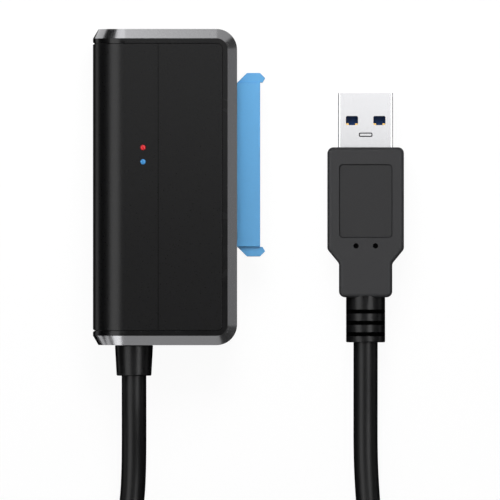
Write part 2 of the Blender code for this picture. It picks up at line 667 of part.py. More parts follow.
def build_cable():
    """The cable: down from the gland to the surface, wound into a coil, and back to the plug."""
    start = [Vector(point) * MM for point in (
        (-9.85, -47, 6.95), (-9.85, -52, 6.1), (-9.87, -57, 5.0), (-9.95, -62, 4.0), (-10.2, -67, 3.4),
        (-10.8, -72, 3.15), (-11.9, -77, 3.15))]
    leave = Vector((GLAND_X, GLAND_TIP_Y - GAP, MID_Z))
    enter = COIL_CENTRE + Vector((-COIL_MEAN_RADIUS - CABLE_RADIUS / 2, 20.4 * MM, 3.3 * MM))
    tube("cable_start", smooth_route([leave] + start + [enter], 1), CABLE_RADIUS, RUBBER_BLACK)

    slope = CABLE_RADIUS / 2
    section = [
        (COIL_INNER + slope, COIL_TOP), (COIL_OUTER - slope, COIL_TOP), (COIL_OUTER, COIL_TOP - slope),
        (COIL_OUTER, COIL_BASE + slope), (COIL_OUTER - slope, COIL_BASE), (COIL_INNER + slope, COIL_BASE),
        (COIL_INNER, COIL_BASE + slope), (COIL_INNER, COIL_TOP - slope)]
    ring = turned("cable_coil", section, COIL_CENTRE, steps=COIL_STEPS, closed=True)
    finish(ring, RUBBER_BLACK)

    middle = COIL_CENTRE
    tie_inner = COIL_INNER - TIE_CLEARANCE
    tie_outer = COIL_OUTER + TIE_CLEARANCE
    tie = box(
        "cable_tie",
        (middle.x - TIE_WIDTH / 2, middle.y - tie_outer - TIE_THICKNESS, 0),
        (middle.x + TIE_WIDTH / 2, middle.y - tie_inner + 2 * TIE_THICKNESS, COIL_TOP + COIL_BASE))
    cut(tie, box(
        "tie_hole",
        (middle.x - TIE_WIDTH, middle.y - tie_outer, TIE_THICKNESS),
        (middle.x + TIE_WIDTH, middle.y - tie_inner + TIE_THICKNESS, COIL_TOP + TIE_CLEARANCE)))
    finish(tie, RUBBER_BLACK)

    end = [Vector(point) * MM for point in (
        (41.9, -76, 6.0), (41.5, -71, 4.8), (41.15, -66, 3.9), (40.9, -61, 3.3), (40.8, -56, 3.05),
        (40.79, -51, 3.1), (40.79, -46, 3.4), (40.79, -41, 3.95), (40.79, -37.5, 4.25))]
    leave = COIL_CENTRE + Vector((COIL_MEAN_RADIUS - 0.25 * MM, 22.4 * MM, 7.4 * MM))
    enter = Vector((PLUG_X, RELIEF_END_Y - GAP, PLUG_Z))
    tube("cable_end", smooth_route([leave] + end + [enter], 1), CABLE_RADIUS, RUBBER_BLACK)


def build_plug_overmold():
    """The plug's grip, tapered to a neck, with a ribbed strain relief moulded on."""
    half = GRIP_WIDTH / 2
    neck = GRIP_NECK_WIDTH / 2
    taper_y = PLUG_FRONT_Y - GRIP_LENGTH
    neck_y = taper_y - GRIP_TAPER
    outline = [
        (half, PLUG_FRONT_Y), (half, taper_y), (neck, neck_y), (neck, GRIP_END_Y),
        (-neck, GRIP_END_Y), (-neck, neck_y), (-half, taper_y), (-half, PLUG_FRONT_Y)]
    bm = flat_outline("plug_overmold", outline, GRIP_THICKNESS)
    bmesh.ops.translate(bm, vec=(PLUG_X, 0, PLUG_Z), verts=bm.verts)
    bmesh.ops.bevel(
        bm, geom=list(bm.edges), offset=GRIP_EDGE_RADIUS, segments=3, profile=0.5,
        affect="EDGES", material=-1)
    grip = mesh_object("plug_overmold", bm)

    place = (PLUG_X, 0, PLUG_Z)
    relief_top = GRIP_END_Y + GRIP_NECK_LENGTH / 2
    relief = turned("relief", [
        (0, relief_top), (RELIEF_RADIUS, relief_top), (RELIEF_RADIUS, RELIEF_END_Y + GAP),
        (RELIEF_RADIUS - GAP, RELIEF_END_Y), (0, RELIEF_END_Y)], place, "Y")

    # Each groove is open to the front and the back, and a web at each side stays whole
    floor = RELIEF_RADIUS - RELIEF_GROOVE_DEPTH
    past = RELIEF_RADIUS + RELIEF_GROOVE_DEPTH
    for index in range(RELIEF_GROOVES):
        middle = GRIP_END_Y - RELIEF_FIRST_GROOVE - index * RELIEF_GROOVE_PITCH
        top = middle + RELIEF_GROOVE_WIDTH / 2
        bottom = middle - RELIEF_GROOVE_WIDTH / 2
        profile = [(past, top), (past, bottom), (floor, bottom), (floor, top)]
        groove = turned(f"relief_groove_{index}", profile, place, "Y", closed=True)
        cut(groove, box(
            f"relief_web_{index}", (PLUG_X - GRIP_WIDTH, bottom - WALL, PLUG_Z - RELIEF_WEB / 2),
            (PLUG_X + GRIP_WIDTH, top + WALL, PLUG_Z + RELIEF_WEB / 2)))
        cut(relief, groove)
    join(grip, relief)

    recess_top = PLUG_FRONT_Y - RECESS_FROM_FRONT
    for index, (low, high) in enumerate((
            (GRIP_THICKNESS - RECESS_DEPTH, GRIP_THICKNESS + WALL), (-WALL, RECESS_DEPTH))):
        cut(grip, box(
            f"grip_recess_{index}", (PLUG_X - RECESS_WIDTH / 2, recess_top - RECESS_LENGTH, low),
            (PLUG_X + RECESS_WIDTH / 2, recess_top, high)))
    for side in (-1, 1):
        place = (
            PLUG_X + side * DIMPLE_SPACING / 2, recess_top - RECESS_LENGTH - DIMPLE_FROM_RECESS,
            GRIP_THICKNESS)
        cut(grip, cylinder(f"grip_dimple_{side + 1}", place, DIMPLE_RADIUS, 2 * DIMPLE_DEPTH, steps=12))
    cut(grip, shell_block("grip_socket", GAP, PLUG_FRONT_Y - SHELL_SEAT - GAP, PLUG_FRONT_Y + WALL))
    return finish(grip, RUBBER_BLACK)


def shell_block(name, grow, low_y, high_y):
    """A block of the plug shell's section, with round edges, grown all round."""
    bm = box_bmesh(
        (PLUG_X - SHELL_WIDTH / 2 - grow, low_y, PLUG_Z - SHELL_THICKNESS / 2 - grow),
        (PLUG_X + SHELL_WIDTH / 2 + grow, high_y, PLUG_Z + SHELL_THICKNESS / 2 + grow))
    long_edges = [edge for edge in bm.edges if abs(edge.verts[0].co.y - edge.verts[1].co.y) > GAP]
    bmesh.ops.bevel(
        bm, geom=long_edges, offset=SHELL_CORNER_RADIUS + grow, segments=3, profile=0.5,
        affect="EDGES", material=-1)
    return mesh_object(name, bm)


def build_usb_shell():
    """The plug's folded steel shell, with two windows in each broad side."""
    seat = PLUG_FRONT_Y - SHELL_SEAT
    shell = shell_block("usb_shell", 0, seat, SHELL_TIP_Y)
    cut(shell, shell_block("shell_inside", -SHELL_WALL, seat - WALL, SHELL_TIP_Y + WALL))
    top = SHELL_TIP_Y - WINDOW_FROM_TIP + WINDOW_LENGTH / 2
    for side in (-1, 1):
        middle = PLUG_X + side * WINDOW_SPACING / 2
        cut(shell, box(
            f"shell_window_{side + 1}",
            (middle - WINDOW_WIDTH / 2, top - WINDOW_LENGTH, PLUG_Z - SHELL_THICKNESS),
            (middle + WINDOW_WIDTH / 2, top, PLUG_Z + SHELL_THICKNESS)))
    return finish(shell, STEEL)


def build_usb_insulator():
    """The blue insulator: a root block that fills the shell, and the tongue that carries the contacts."""
    inside = SHELL_WIDTH / 2 - SHELL_WALL - GAP
    low = PLUG_Z - SHELL_THICKNESS / 2 + SHELL_WALL + GAP
    high = PLUG_Z + SHELL_THICKNESS / 2 - SHELL_WALL - GAP
    root = PLUG_FRONT_Y - SHELL_SEAT + GAP
    root_end = root + TONGUE_ROOT_LENGTH
    insulator = box("usb_insulator", (PLUG_X - inside, root, low), (PLUG_X + inside, root_end, high))
    join(insulator, box(
        "tongue", (PLUG_X - inside, root_end - WALL, low),
        (PLUG_X + inside, SHELL_TIP_Y - TONGUE_TIP_INSET, low + TONGUE_THICKNESS)))
    finish(insulator, TONGUE_BLUE)

    on_tongue = low + TONGUE_THICKNESS + GAP / 2
    width, length, thick = USB_CONTACT_SIZE
    tip = SHELL_TIP_Y - TONGUE_TIP_INSET - USB_CONTACT_INSET
    for index, offset in enumerate(USB_CONTACT_OFFSETS):
        finish(box(
            f"usb_contact_{index + 1}", (PLUG_X + offset - width / 2, tip - length, on_tongue),
            (PLUG_X + offset + width / 2, tip, on_tongue + thick)), CONTACT_GOLD)
    width, length, thick = FAST_CONTACT_SIZE
    back = tip - FAST_CONTACT_INSET
    for index in range(5):
        middle = PLUG_X + (index - 2) * FAST_CONTACT_PITCH
        finish(box(
            f"usb_fast_contact_{index + 1}", (middle - width / 2, back - length, on_tongue),
            (middle + width / 2, back, on_tongue + thick)), CONTACT_GOLD)


build_trim_frame()
build_front_cover()
build_rear_cover()
build_sata_connector()
build_sata_contacts()
build_board()
build_lights()
build_gland()
build_wires()
build_cable()
build_plug_overmold()
build_usb_shell()
build_usb_insulator()
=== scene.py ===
"""Looks for a USB to SATA adapter: its housing, drive connector, plug and cable, in a plain pale studio.

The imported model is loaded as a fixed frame, in metres with +Z up. Each piece is modelled in bmesh around it.
"""

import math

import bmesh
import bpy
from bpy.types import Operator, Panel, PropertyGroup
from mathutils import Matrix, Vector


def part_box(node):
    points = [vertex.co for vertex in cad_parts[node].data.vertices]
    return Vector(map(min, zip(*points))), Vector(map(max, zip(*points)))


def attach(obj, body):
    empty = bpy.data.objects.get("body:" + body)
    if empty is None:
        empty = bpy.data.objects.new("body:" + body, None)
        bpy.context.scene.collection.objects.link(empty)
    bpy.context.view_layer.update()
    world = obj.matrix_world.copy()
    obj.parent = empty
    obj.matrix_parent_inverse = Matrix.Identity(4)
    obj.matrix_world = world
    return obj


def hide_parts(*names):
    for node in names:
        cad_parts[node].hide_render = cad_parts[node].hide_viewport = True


bl_info = {
    "name": "Drive Adapter Looks",
    "version": (1, 0, 0),
    "blender": (4, 5, 0),
    "location": "View3D > Sidebar > Adapter",
    "description": "Models and dresses a drive adapter and its plug around a packed frame",
    "category": "Object",
}

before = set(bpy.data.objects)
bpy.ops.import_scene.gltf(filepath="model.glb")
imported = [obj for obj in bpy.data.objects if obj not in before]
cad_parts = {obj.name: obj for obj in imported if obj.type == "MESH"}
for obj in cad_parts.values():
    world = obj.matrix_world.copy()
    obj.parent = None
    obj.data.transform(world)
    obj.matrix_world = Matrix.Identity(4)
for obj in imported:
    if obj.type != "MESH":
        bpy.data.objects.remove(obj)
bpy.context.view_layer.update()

MM = 0.001
BODY = "root"
X, Y, Z = range(3)

# How far a cutter reaches past the face that it cuts, and how near two places count as one
PAST = 1 * MM
NEAR = 0.01 * MM

# Places that the frame gives
HOUSING_LOW, HOUSING_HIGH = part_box("trim_frame")
LEFT = HOUSING_LOW.x
RIGHT = HOUSING_HIGH.x
HALF_LENGTH = HOUSING_HIGH.y
THICKNESS = HOUSING_HIGH.z
MID_Z = THICKNESS / 2
SPINE_RADIUS = THICKNESS / 2
SPINE_X = LEFT + SPINE_RADIUS
BLOCK_LOW, BLOCK_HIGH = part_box("sata_connector")
BOARD_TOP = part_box("circuit_board")[1].z
GLAND_LOW, GLAND_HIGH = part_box("cable_gland")
GLAND_X = (GLAND_LOW.x + GLAND_HIGH.x) / 2
GRIP_LOW, GRIP_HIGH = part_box("plug_overmold")
PLUG_X = (GRIP_LOW.x + GRIP_HIGH.x) / 2
PLUG_Z = (GRIP_LOW.z + GRIP_HIGH.z) / 2
SHELL_LOW, SHELL_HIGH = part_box("usb_shell")
RING_LOW, RING_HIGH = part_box("cable_coil")
RING_CENTRE = (RING_LOW + RING_HIGH) / 2
TIE_LOW, TIE_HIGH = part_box("cable_tie")

# How many steps each kind of curve is made in
SPINE_STEPS = 96
TURNED_STEPS = 64
CORNER_STEPS = 16
FOLD_STEPS = 8
GROOVES = 3

# Nearly all of what a noise node gives lies between these two
NOISE_LOW, NOISE_HIGH = 0.3, 0.7


def numbered(stem, count):
    """The names of a row of like nodes."""
    return [f"{stem}_{index}" for index in range(1, count + 1)]


USB_CONTACTS = numbered("usb_contact", 4)
FAST_CONTACTS = numbered("usb_fast_contact", 5)
SIGNAL_CONTACTS = numbered("sata_signal_contact", 7)
POWER_CONTACTS = numbered("sata_power_contact", 15)


def linear(hex_colour):
    """An sRGB hex colour as linear red, green and blue."""
    values = []
    for start in (1, 3, 5):
        share = int(hex_colour[start:start + 2], 16) / 255
        values.append(share / 12.92 if share <= 0.04045 else ((share + 0.055) / 1.055) ** 2.4)
    return tuple(values)


def mm(name, description, millimetres):
    """A length that is given in millimetres."""
    return bpy.props.FloatProperty(
        name=name, description=description, default=millimetres * MM, min=0,
        subtype="DISTANCE", unit="LENGTH")


def tint(name, description, hex_colour):
    """A colour that is given as sRGB hex."""
    return bpy.props.FloatVectorProperty(
        name=name, description=description, default=linear(hex_colour), size=3, min=0, max=1, subtype="COLOR")


class AdapterHousingSizes(PropertyGroup):
    corner: mm("Corner Radius", "Radius of the frame's two corners in plan", 4.5)
    chamfer_run: mm("Chamfer Run", "Width of the bright chamfer seen from the front", 2.05)
    chamfer_drop: mm("Chamfer Drop", "Height that the bright chamfer falls", 1.2)
    rim: mm("Rim", "Width of the frame that shows round a cover", 3.15)
    wall: mm("Wall", "Thickness of the frame and the covers", 1.6)
    lip: mm("Lip", "Thickness of the frame's lip over the covers' flanges", 0.5)
    flange: mm("Flange", "Thickness of the covers' flanges", 0.9)
    gap: mm("Seam", "Gap between a cover and the frame", 0.06)
    seam_corner: mm("Seam Corner", "Radius of the seam's corners", 1.3)
    edge: mm("Edge Radius", "Radius that the seam's edges are moulded with", 0.09)
    notch: mm("Notch", "Depth of the small V where a seam crosses the spine's edge", 0.42)
    notch_width: mm("Notch Width", "Width of that V at its mouth", 1.176)
    groove: mm("Groove Width", "Width of the fine groove along the panel", 0.1)
    groove_offset: mm("Groove Offset", "Distance of the groove from the spine's edge", 14.3)
    post: mm("Post Radius", "Radius of the posts inside the covers", 1.5)
    light_pipe: mm("Light Pipe", "Radius of the light pipes' ends", 0.54)
    light_hole: mm("Light Hole", "Radius of the holes that they end in", 0.61)
    light_dome: mm("Light Dome", "Height of their domed ends", 0.12)
    light_depth: mm("Light Depth", "Depth of their flanges under the panel's face", 1.9)
    light_flange: mm("Light Flange", "Thickness of their flanges", 1.5)


class AdapterConnectorSizes(PropertyGroup):
    ear_height: mm("Ear Height", "How far each guide ear stands past the block", 2.1)
    ear_thickness: mm("Ear Thickness", "Thickness of the guide ears", 4.4)
    ear_overhang: mm("Ear Overhang", "How far the ears reach past the block's face", 1.1)
    ear_nose: mm("Ear Nose", "Length of the slope at each ear's tip", 1.15)
    slot_height: mm("Slot Height", "Height of the slots for the drive's tongues", 2.2)
    slot_depth: mm("Slot Depth", "Depth of those slots", 5.2)
    slot_margin: mm("Slot Margin", "How far a slot reaches past its last contacts", 1.3)
    key: mm("Key Width", "Width of each slot's key", 1.3)
    key_height: mm("Key Height", "How far each key rises above its slot", 0.9)
    passage: mm("Passage", "How far the contacts' passage ends inside the slot's ends", 0.4)
    edge: mm("Edge Radius", "Radius of the moulded edges", 0.2)


class AdapterPlugSizes(PropertyGroup):
    grip_length: mm("Grip Length", "Length of the grip's wide part", 22.3)
    taper: mm("Taper Length", "Length over which the grip narrows", 3.1)
    neck_length: mm("Neck Length", "Length of the grip's neck", 7.4)
    neck_width: mm("Neck Width", "Width of the grip's neck", 11.6)
    edge: mm("Edge Radius", "Radius of the grip's edges", 0.9)
    corner: mm("Corner Radius", "Radius of the grip's corners in plan", 1.3)
    recess_width: mm("Recess Width", "Width of the bare recess on each face", 11.25)
    recess_length: mm("Recess Length", "Length of that recess", 15.7)
    recess_depth: mm("Recess Depth", "Depth of that recess", 0.3)
    recess_corner: mm("Recess Corner", "Radius of that recess's corners", 0.8)
    recess_slope: mm("Recess Slope", "Width of the slope round that recess", 0.22)
    recess_inset: mm("Recess Inset", "Distance of the recess from the grip's front", 3.9)
    taper_corner: mm("Taper Corner", "Cut back of the taper's corners", 0.4)
    relief: mm("Relief Radius", "Radius of the ribbed strain relief", 4.27)
    groove_width: mm("Groove Width", "Width of the relief's grooves", 0.9)
    groove_depth: mm("Groove Depth", "Depth of the relief's grooves", 1.45)
    web: mm("Web", "Height of the webs that interrupt the grooves at both sides", 1.4)
    relief_edge: mm("Relief Edge", "Radius of the relief's last edge", 0.25)
    groove_pitch: mm("Groove Pitch", "Distance from one groove to the next", 2.47)
    first_groove: mm("First Groove", "Distance of the first groove from the neck", 3.1)
    dimple: mm("Dimple Radius", "Radius of the two dimples under the recess", 0.58)
    dimple_offset: mm("Dimple Offset", "Distance of each dimple from the middle line", 2.12)
    dimple_inset: mm("Dimple Inset", "Distance of the dimples from the recess", 1.95)
    shell_wall: mm("Shell Wall", "Thickness of the folded shell", 0.35)
    shell_corner: mm("Shell Corner", "Radius of the shell's folds", 0.45)
    window_width: mm("Window Width", "Width of the shell's windows", 2.65)
    window_length: mm("Window Length", "Length of the shell's windows", 2.0)
    window_spacing: mm("Window Spacing", "Distance between the windows' middles", 6.0)
    window_inset: mm("Window Inset", "Distance of the windows' middles from the tip", 6.0)
    window_corner: mm("Window Corner", "Radius of the windows' corners", 0.35)
    stop_width: mm("Stop Width", "Width of the small stop on the shell", 2.5)
    stop_length: mm("Stop Length", "Length of that stop", 0.45)
    stop_corner: mm("Stop Corner", "Radius of that stop's corners", 0.15)
    stop_groove: mm("Stop Groove", "Width and depth of the groove round that stop", 0.25)
    stop_inset: mm("Stop Inset", "Distance of that stop from the grip", 2.75)


class AdapterCableSizes(PropertyGroup):
    diameter: mm("Cable Diameter", "Diameter of the round cable", 5.4)
    length: mm("Cable Length", "Length from the gland to the plug's relief", 560)
    seat: mm("Seat", "How far the cable reaches into the gland and the relief", 1.0)
    gland_base: mm("Gland Base", "Radius of the gland at the housing", 4.17)
    gland_tip: mm("Gland Tip", "Radius of the gland where the cable leaves it", 3.8)
    gland_neck: mm("Gland Neck", "Radius of the gland's neck through the frame", 3.1)
    gland_collar: mm("Gland Collar", "Radius of the gland's collar inside", 3.7)
    gland_edge: mm("Gland Edge", "Radius of the gland's outer edges", 0.25)
    strap: mm("Strap Thickness", "Thickness of the strap round the coil", 0.5)
    strap_corner: mm("Strap Corner", "Radius of the strap's outer corners", 1.6)


class AdapterColours(PropertyGroup):
    cover: tint("Covers", "Fine satin black of the two covers", "#0d0d0e")
    frame_body: tint("Frame", "Gloss black of the frame's sides and lips", "#0d0d0e")
    chamfer: tint("Chamfer", "Bright cut metal of the chamfers", "#a0a0a2")
    connector: tint("Drive Connector", "Sky blue of the drive connector", "#4b9ad0")
    grip: tint("Grip", "Soft black of the plug's grip", "#28282a")
    cable: tint("Cable", "Black of the cable's sheath", "#141415")
    shell: tint("Shell", "Bright plating of the plug's shell", "#c8c8ca")
    tongue: tint("Tongue", "Blue of the plug's tongue", "#143a70")
    red_lamp: tint("Red Lamp", "Red of the power lamp", "#c2101c")
    blue_lamp: tint("Blue Lamp", "Blue of the activity lamp", "#3180bb")


class AdapterStageSizes(PropertyGroup):
    view_width: mm("View Width", "Width of the square view at the housing", 109.29)
    view_x: bpy.props.FloatProperty(
        name="View Centre X", description="Where the view's middle lies across", default=15.50 * MM,
        subtype="DISTANCE", unit="LENGTH")
    view_y: bpy.props.FloatProperty(
        name="View Centre Y", description="Where the view's middle lies along the housing",
        default=-13.73 * MM, subtype="DISTANCE", unit="LENGTH")
    lens: bpy.props.FloatProperty(
        name="Lens", description="Focal length in millimetres, long enough for a square-on view",
        default=1000, min=50, max=5000)
    light_distance: mm("Light Distance", "Distance of the softboxes from the object", 700)
    fill: bpy.props.FloatProperty(
        name="Fill", description="Strength of the even light from all round", default=0.4, min=0, max=2)


PROPERTY_GROUPS = {
    "adapter_housing": AdapterHousingSizes,
    "adapter_connector": AdapterConnectorSizes,
    "adapter_plug": AdapterPlugSizes,
    "adapter_cable": AdapterCableSizes,
    "adapter_colours": AdapterColours,
    "adapter_stage": AdapterStageSizes,
}


def feed(material, node, inputs):
    """Give a node's inputs their values, or link the sockets that feed them."""
    for name, value in inputs.items():
        if isinstance(value, bpy.types.NodeSocket):
            material.node_tree.links.new(value, node.inputs[name])
        else:
            node.inputs[name].default_value = value


def add_node(material, kind, inputs=None, **settings):
    """Add a node by Blender's name without ShaderNode. An input is a value, or the socket that feeds it."""
    made = material.node_tree.nodes.new("ShaderNode" + kind)
    for name, value in settings.items():
        setattr(made, name, value)
    feed(material, made, inputs or {})
    return made


def feed_shader(material, **inputs):
    """Feed the inputs of a material's plain shader, named with _ for each space."""
    shader = material.node_tree.nodes["Principled BSDF"]
    feed(material, shader, {name.replace("_", " "): value for name, value in inputs.items()})


def new_material(name, colour, roughness, metallic=0.0, specular=0.5):
    """A material with a plain shader."""
    material = bpy.data.materials.new(name)
    material.use_nodes = True
    feed_shader(material, Base_Color=(*colour, 1), Roughness=roughness, Metallic=metallic,
                Specular_IOR_Level=specular)
    return material


def tint_by(material, mask, dark, light):
    """Let a mask vary the colour between two near tones."""
    blend = add_node(material, "Mix", {0: mask, 6: (*dark, 1), 7: (*light, 1)}, data_type="RGBA")
    feed_shader(material, Base_Color=blend.outputs[2])


def shade(colour, factor):
    return tuple(min(1, value * factor) for value in colour)


def tones(colour, spread):
    """Two tones that are a share darker and lighter than a colour."""
    return shade(colour, 1 - spread), shade(colour, 1 + spread)


def grained(name, colour, pitch, height, roughness, metallic=0.0, specular=0.5, detail=2.0,
            stretch=(1, 1, 1), two_tones=None):
    """A material textured by a noise whose features are a pitch apart.

    The noise gives a bump of a height, a roughness from low to high, and two near tones if they are given.
    The real grains are 0.05 to 0.1 mm, too fine to show, so the pitches are as coarse as they need to show.
    """
    low, high = roughness
    material = new_material(name, colour, (low + high) / 2, metallic, specular)
    place = add_node(material, "TexCoord").outputs["Object"]
    spread = add_node(material, "Mapping", {"Vector": place, "Scale": stretch}).outputs["Vector"]
    noise = add_node(material, "TexNoise", {"Vector": spread, "Scale": 1 / pitch, "Detail": detail})
    bump = add_node(material, "Bump", {"Height": noise.outputs["Fac"], "Distance": height})
    rough = add_node(material, "MapRange", {
        "Value": noise.outputs["Fac"], "From Min": NOISE_LOW, "From Max": NOISE_HIGH,
        "To Min": low, "To Max": high})
    feed_shader(material, Normal=bump.outputs["Normal"], Roughness=rough.outputs["Result"])
    if two_tones:
        tint_by(material, noise.outputs["Fac"], *two_tones)
    return material


def satin_abs(colour):
    """ABS moulded in a spark-eroded tool: a fine even grain that spreads highlights into a soft sheen."""
    return grained("Satin ABS, Spark Eroded", colour, pitch=0.35 * MM, height=0.008 * MM,
                   roughness=(0.27, 0.34), specular=0.15, detail=3, two_tones=tones(colour, 0.15))


def gloss_abs(colour):
    """Piano-black lacquered ABS: smooth and dark, with clear reflections and hardly any texture."""
    return grained("Gloss Lacquered ABS", colour, pitch=2.5 * MM, height=0.004 * MM, roughness=(0.2, 0.28),
                   specular=0.15)


def cut_metal(colour):
    """Diamond-cut aluminium: bright, with very fine cutter lines that run along the chamfer."""
    return grained("Diamond-Cut Aluminium", colour, pitch=0.3 * MM, height=0.0008 * MM,
                   roughness=(0.18, 0.22), metallic=1.0, stretch=(0.2, 0.2, 4))


def moulded_pbt(colour):
    """PBT, the opaque resin of drive connectors: clean blue with a low even sheen."""
    return grained("Moulded PBT", colour, pitch=0.5 * MM, height=0.006 * MM, roughness=(0.45, 0.55),
                   specular=0.4, two_tones=tones(colour, 0.03))


def grip_tpe(colour):
    """Overmoulded TPE: matt soft rubber with a fine etched grain and a wide dull sheen."""
    return grained("Overmoulded TPE", colour, pitch=0.25 * MM, height=0.01 * MM, roughness=(0.5, 0.64),
                   specular=0.2, detail=3, two_tones=tones(colour, 0.1))


def sheath_pvc(colour):
    """Extruded PVC sheath: satin black, with faint uneven spots from the die."""
    return grained("Extruded PVC Sheath", colour, pitch=0.6 * MM, height=0.006 * MM, roughness=(0.32, 0.4),
                   specular=0.13, two_tones=tones(colour, 0.1))


def gland_pvc(colour):
    """Moulded PVC of the gland: the sheath's black, with a smoother skin from the tool."""
    return grained("Moulded PVC", colour, pitch=0.8 * MM, height=0.005 * MM, roughness=(0.27, 0.33),
                   specular=0.13)


def groove_shade_paint(colour):
    """Near-black matt plastic used as painted shade: it darkens grooves, dimples and cut outlines where shade
    would fall.
    """
    return new_material("Painted Groove Shade", shade(colour, 0.2), roughness=0.9, specular=0.02)


def nickel_steel(colour):
    """Steel with bright nickel plating: nearly white flats with a soft rolled grain, and folds painted a
    little darker as painted shade.
    """
    material = grained("Nickel-Plated Steel", colour, pitch=0.15 * MM, height=0.001 * MM,
                       roughness=(0.18, 0.24), metallic=1.0, stretch=(1, 0.1, 1))
    place = add_node(material, "TexCoord").outputs["Object"]
    height = add_node(material, "SeparateXYZ", {"Vector": place}).outputs["Z"]
    from_middle = add_node(material, "Math", {0: height, 1: PLUG_Z}, operation="SUBTRACT")
    either_way = add_node(material, "Math", {0: from_middle.outputs[0]}, operation="ABSOLUTE")
    # The folds get painted shade: a tenth darker than the flats, for the darker surroundings that they face.
    face = SHELL_HIGH.z - PLUG_Z
    fold_ends = face - 0.05 * MM
    flat_starts = face - 0.005 * MM
    fold_shade_mask = add_node(material, "MapRange", {
        "Value": either_way.outputs[0], "From Min": fold_ends, "From Max": flat_starts})
    tint_by(material, fold_shade_mask.outputs["Result"], shade(colour, 0.9), colour)
    return material


def tongue_pbt(colour):
    """Glass-filled PBT of the plug's tongue: deep blue and slightly glossy."""
    return grained("Glass-Filled PBT", colour, pitch=0.3 * MM, height=0.004 * MM, roughness=(0.35, 0.45),
                   specular=0.1)


def gold_plate():
    """Gold flash over nickel on stamped contacts: warm, bright and smooth."""
    return grained("Gold-Plated Contact", linear("#e6c078"), pitch=0.2 * MM, height=0.001 * MM,
                   roughness=(0.18, 0.28), metallic=1.0)


def lamp_acrylic(name, colour):
    """Tinted acrylic light pipe: clear colour that glows a little under its polished end."""
    material = grained(name, colour, pitch=0.4 * MM, height=0.002 * MM, roughness=(0.3, 0.4), specular=0.2)
    feed_shader(material, Coat_Weight=0.05, Coat_Roughness=0.2, Emission_Color=(*colour, 1),
                Emission_Strength=0.25)
    return material


def solder_mask():
    """Glass epoxy under green solder mask: a thin glossy coat with a faint weave."""
    return grained("Solder Mask on Glass Epoxy", linear("#1d5c38"), pitch=0.5 * MM, height=0.004 * MM,
                   roughness=(0.3, 0.42), two_tones=(linear("#19522f"), linear("#226640")))


def chip_epoxy():
    """Moulded epoxy of chips and the inductor's ferrite: dull charcoal with a sandy grain."""
    return grained("Moulded Epoxy", linear("#2a2a2b"), pitch=0.12 * MM, height=0.006 * MM,
                   roughness=(0.52, 0.68))


def drawn_tin():
    """Drawn aluminium cans and tinned lids: pale satin metal."""
    return grained("Drawn Aluminium Can", linear("#c8c8c8"), pitch=0.3 * MM, height=0.002 * MM,
                   roughness=(0.3, 0.42), metallic=1.0)


def core_pvc(name, hex_colour):
    """Thin PVC insulation of a cable's core: glossy plain colour."""
    return grained(name, linear(hex_colour), pitch=0.4 * MM, height=0.002 * MM, roughness=(0.3, 0.4))


def woven_nylon():
    """Woven nylon strap: crossed threads 0.6 mm apart, dull black with a little sheen."""
    material = new_material("Woven Nylon", linear("#1b1b1c"), roughness=0.75)
    place = add_node(material, "TexCoord").outputs["Object"]
    # A wave node's bands lie pi / (10 * scale) apart
    thread = 0.6 * MM
    threads = []
    for direction in ("X", "Z"):
        wave = add_node(material, "TexWave", {"Vector": place, "Scale": math.pi / (10 * thread)},
                        bands_direction=direction)
        threads.append(wave.outputs["Fac"])
    woven = add_node(material, "Math", {0: threads[0], 1: threads[1]}, operation="MULTIPLY")
    bump = add_node(material, "Bump", {"Height": woven.outputs[0], "Distance": 0.08 * MM})
    feed_shader(material, Sheen_Weight=0.3, Normal=bump.outputs["Normal"])
    tint_by(material, woven.outputs[0], linear("#131314"), linear("#28282a"))
    return material


def add_object(name, data):
    item = bpy.data.objects.new(name, data)
    bpy.context.scene.collection.objects.link(item)
    return item


def mesh_object(name, bm):
    """Turn a bmesh into an object in the scene, with its faces pointing out."""
    bmesh.ops.recalc_face_normals(bm, faces=bm.faces)
    mesh = bpy.data.meshes.new(name)
    bm.to_mesh(mesh)
    bm.free()
    return add_object(name, mesh)


def combine(target, tool, operation):
    """Cut, join or intersect a piece with a tool, keep the result as its mesh and drop the tool."""
    modifier = target.modifiers.new(operation, "BOOLEAN")
    modifier.object = tool
    modifier.operation = operation
    modifier.solver = "EXACT"
    graph = bpy.context.evaluated_depsgraph_get()
    result = bpy.data.meshes.new_from_object(target.evaluated_get(graph))
    target.modifiers.clear()
    target.data = result
    bpy.data.objects.remove(tool)
    return target


def cut(target, *tools):
    for tool in tools:
        combine(target, tool, "DIFFERENCE")


def join(target, *tools):
    for tool in tools:
        combine(target, tool, "UNION")


def add_materials(item, materials):
    for material in materials:
        item.data.materials.append(material)
    return item


def paint_cut_shade(tool, index, materials):
    """Give all of a cutting tool one of the piece's materials, which its cut then leaves; the darker materials
    given this way are painted shade in the cut.
    """
    for face in tool.data.polygons:
        face.material_index = index
    return add_materials(tool, materials)


def finish_piece(item, nodes, materials, sharp_angle=32):
    """Shade a piece, give it its materials, and let it ride in place of the nodes it stands for."""
    add_materials(item, materials)
    item.data.shade_smooth()
    item.data.set_sharp_from_angle(angle=math.radians(sharp_angle))
    weighted = item.modifiers.new("face weighted normals", "WEIGHTED_NORMAL")
    weighted.keep_sharp = True
    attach(item, BODY)
    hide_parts(*nodes)
    return item


def dress(node_names, material):
    """Give nodes of the frame a better material."""
    for name in node_names:
        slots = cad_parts[name].data.materials
        slots.clear()
        slots.append(material)


def box_bmesh(low, high, radius=0.0, steps=3):
    """A box between two corners, with all its edges rounded if a radius is given."""
    bm = bmesh.new()
    bmesh.ops.create_cube(bm, size=1)
    low = Vector(low)
    high = Vector(high)
    bmesh.ops.scale(bm, vec=high - low, verts=bm.verts)
    bmesh.ops.translate(bm, vec=(low + high) / 2, verts=bm.verts)
    if radius:
        round_edges(bm, list(bm.edges), radius, steps)
    return bm


def box(name, low, high, radius=0.0):
    return mesh_object(name, box_bmesh(low, high, radius))


def verts_in(geometry):
    return [part for part in geometry if isinstance(part, bmesh.types.BMVert)]


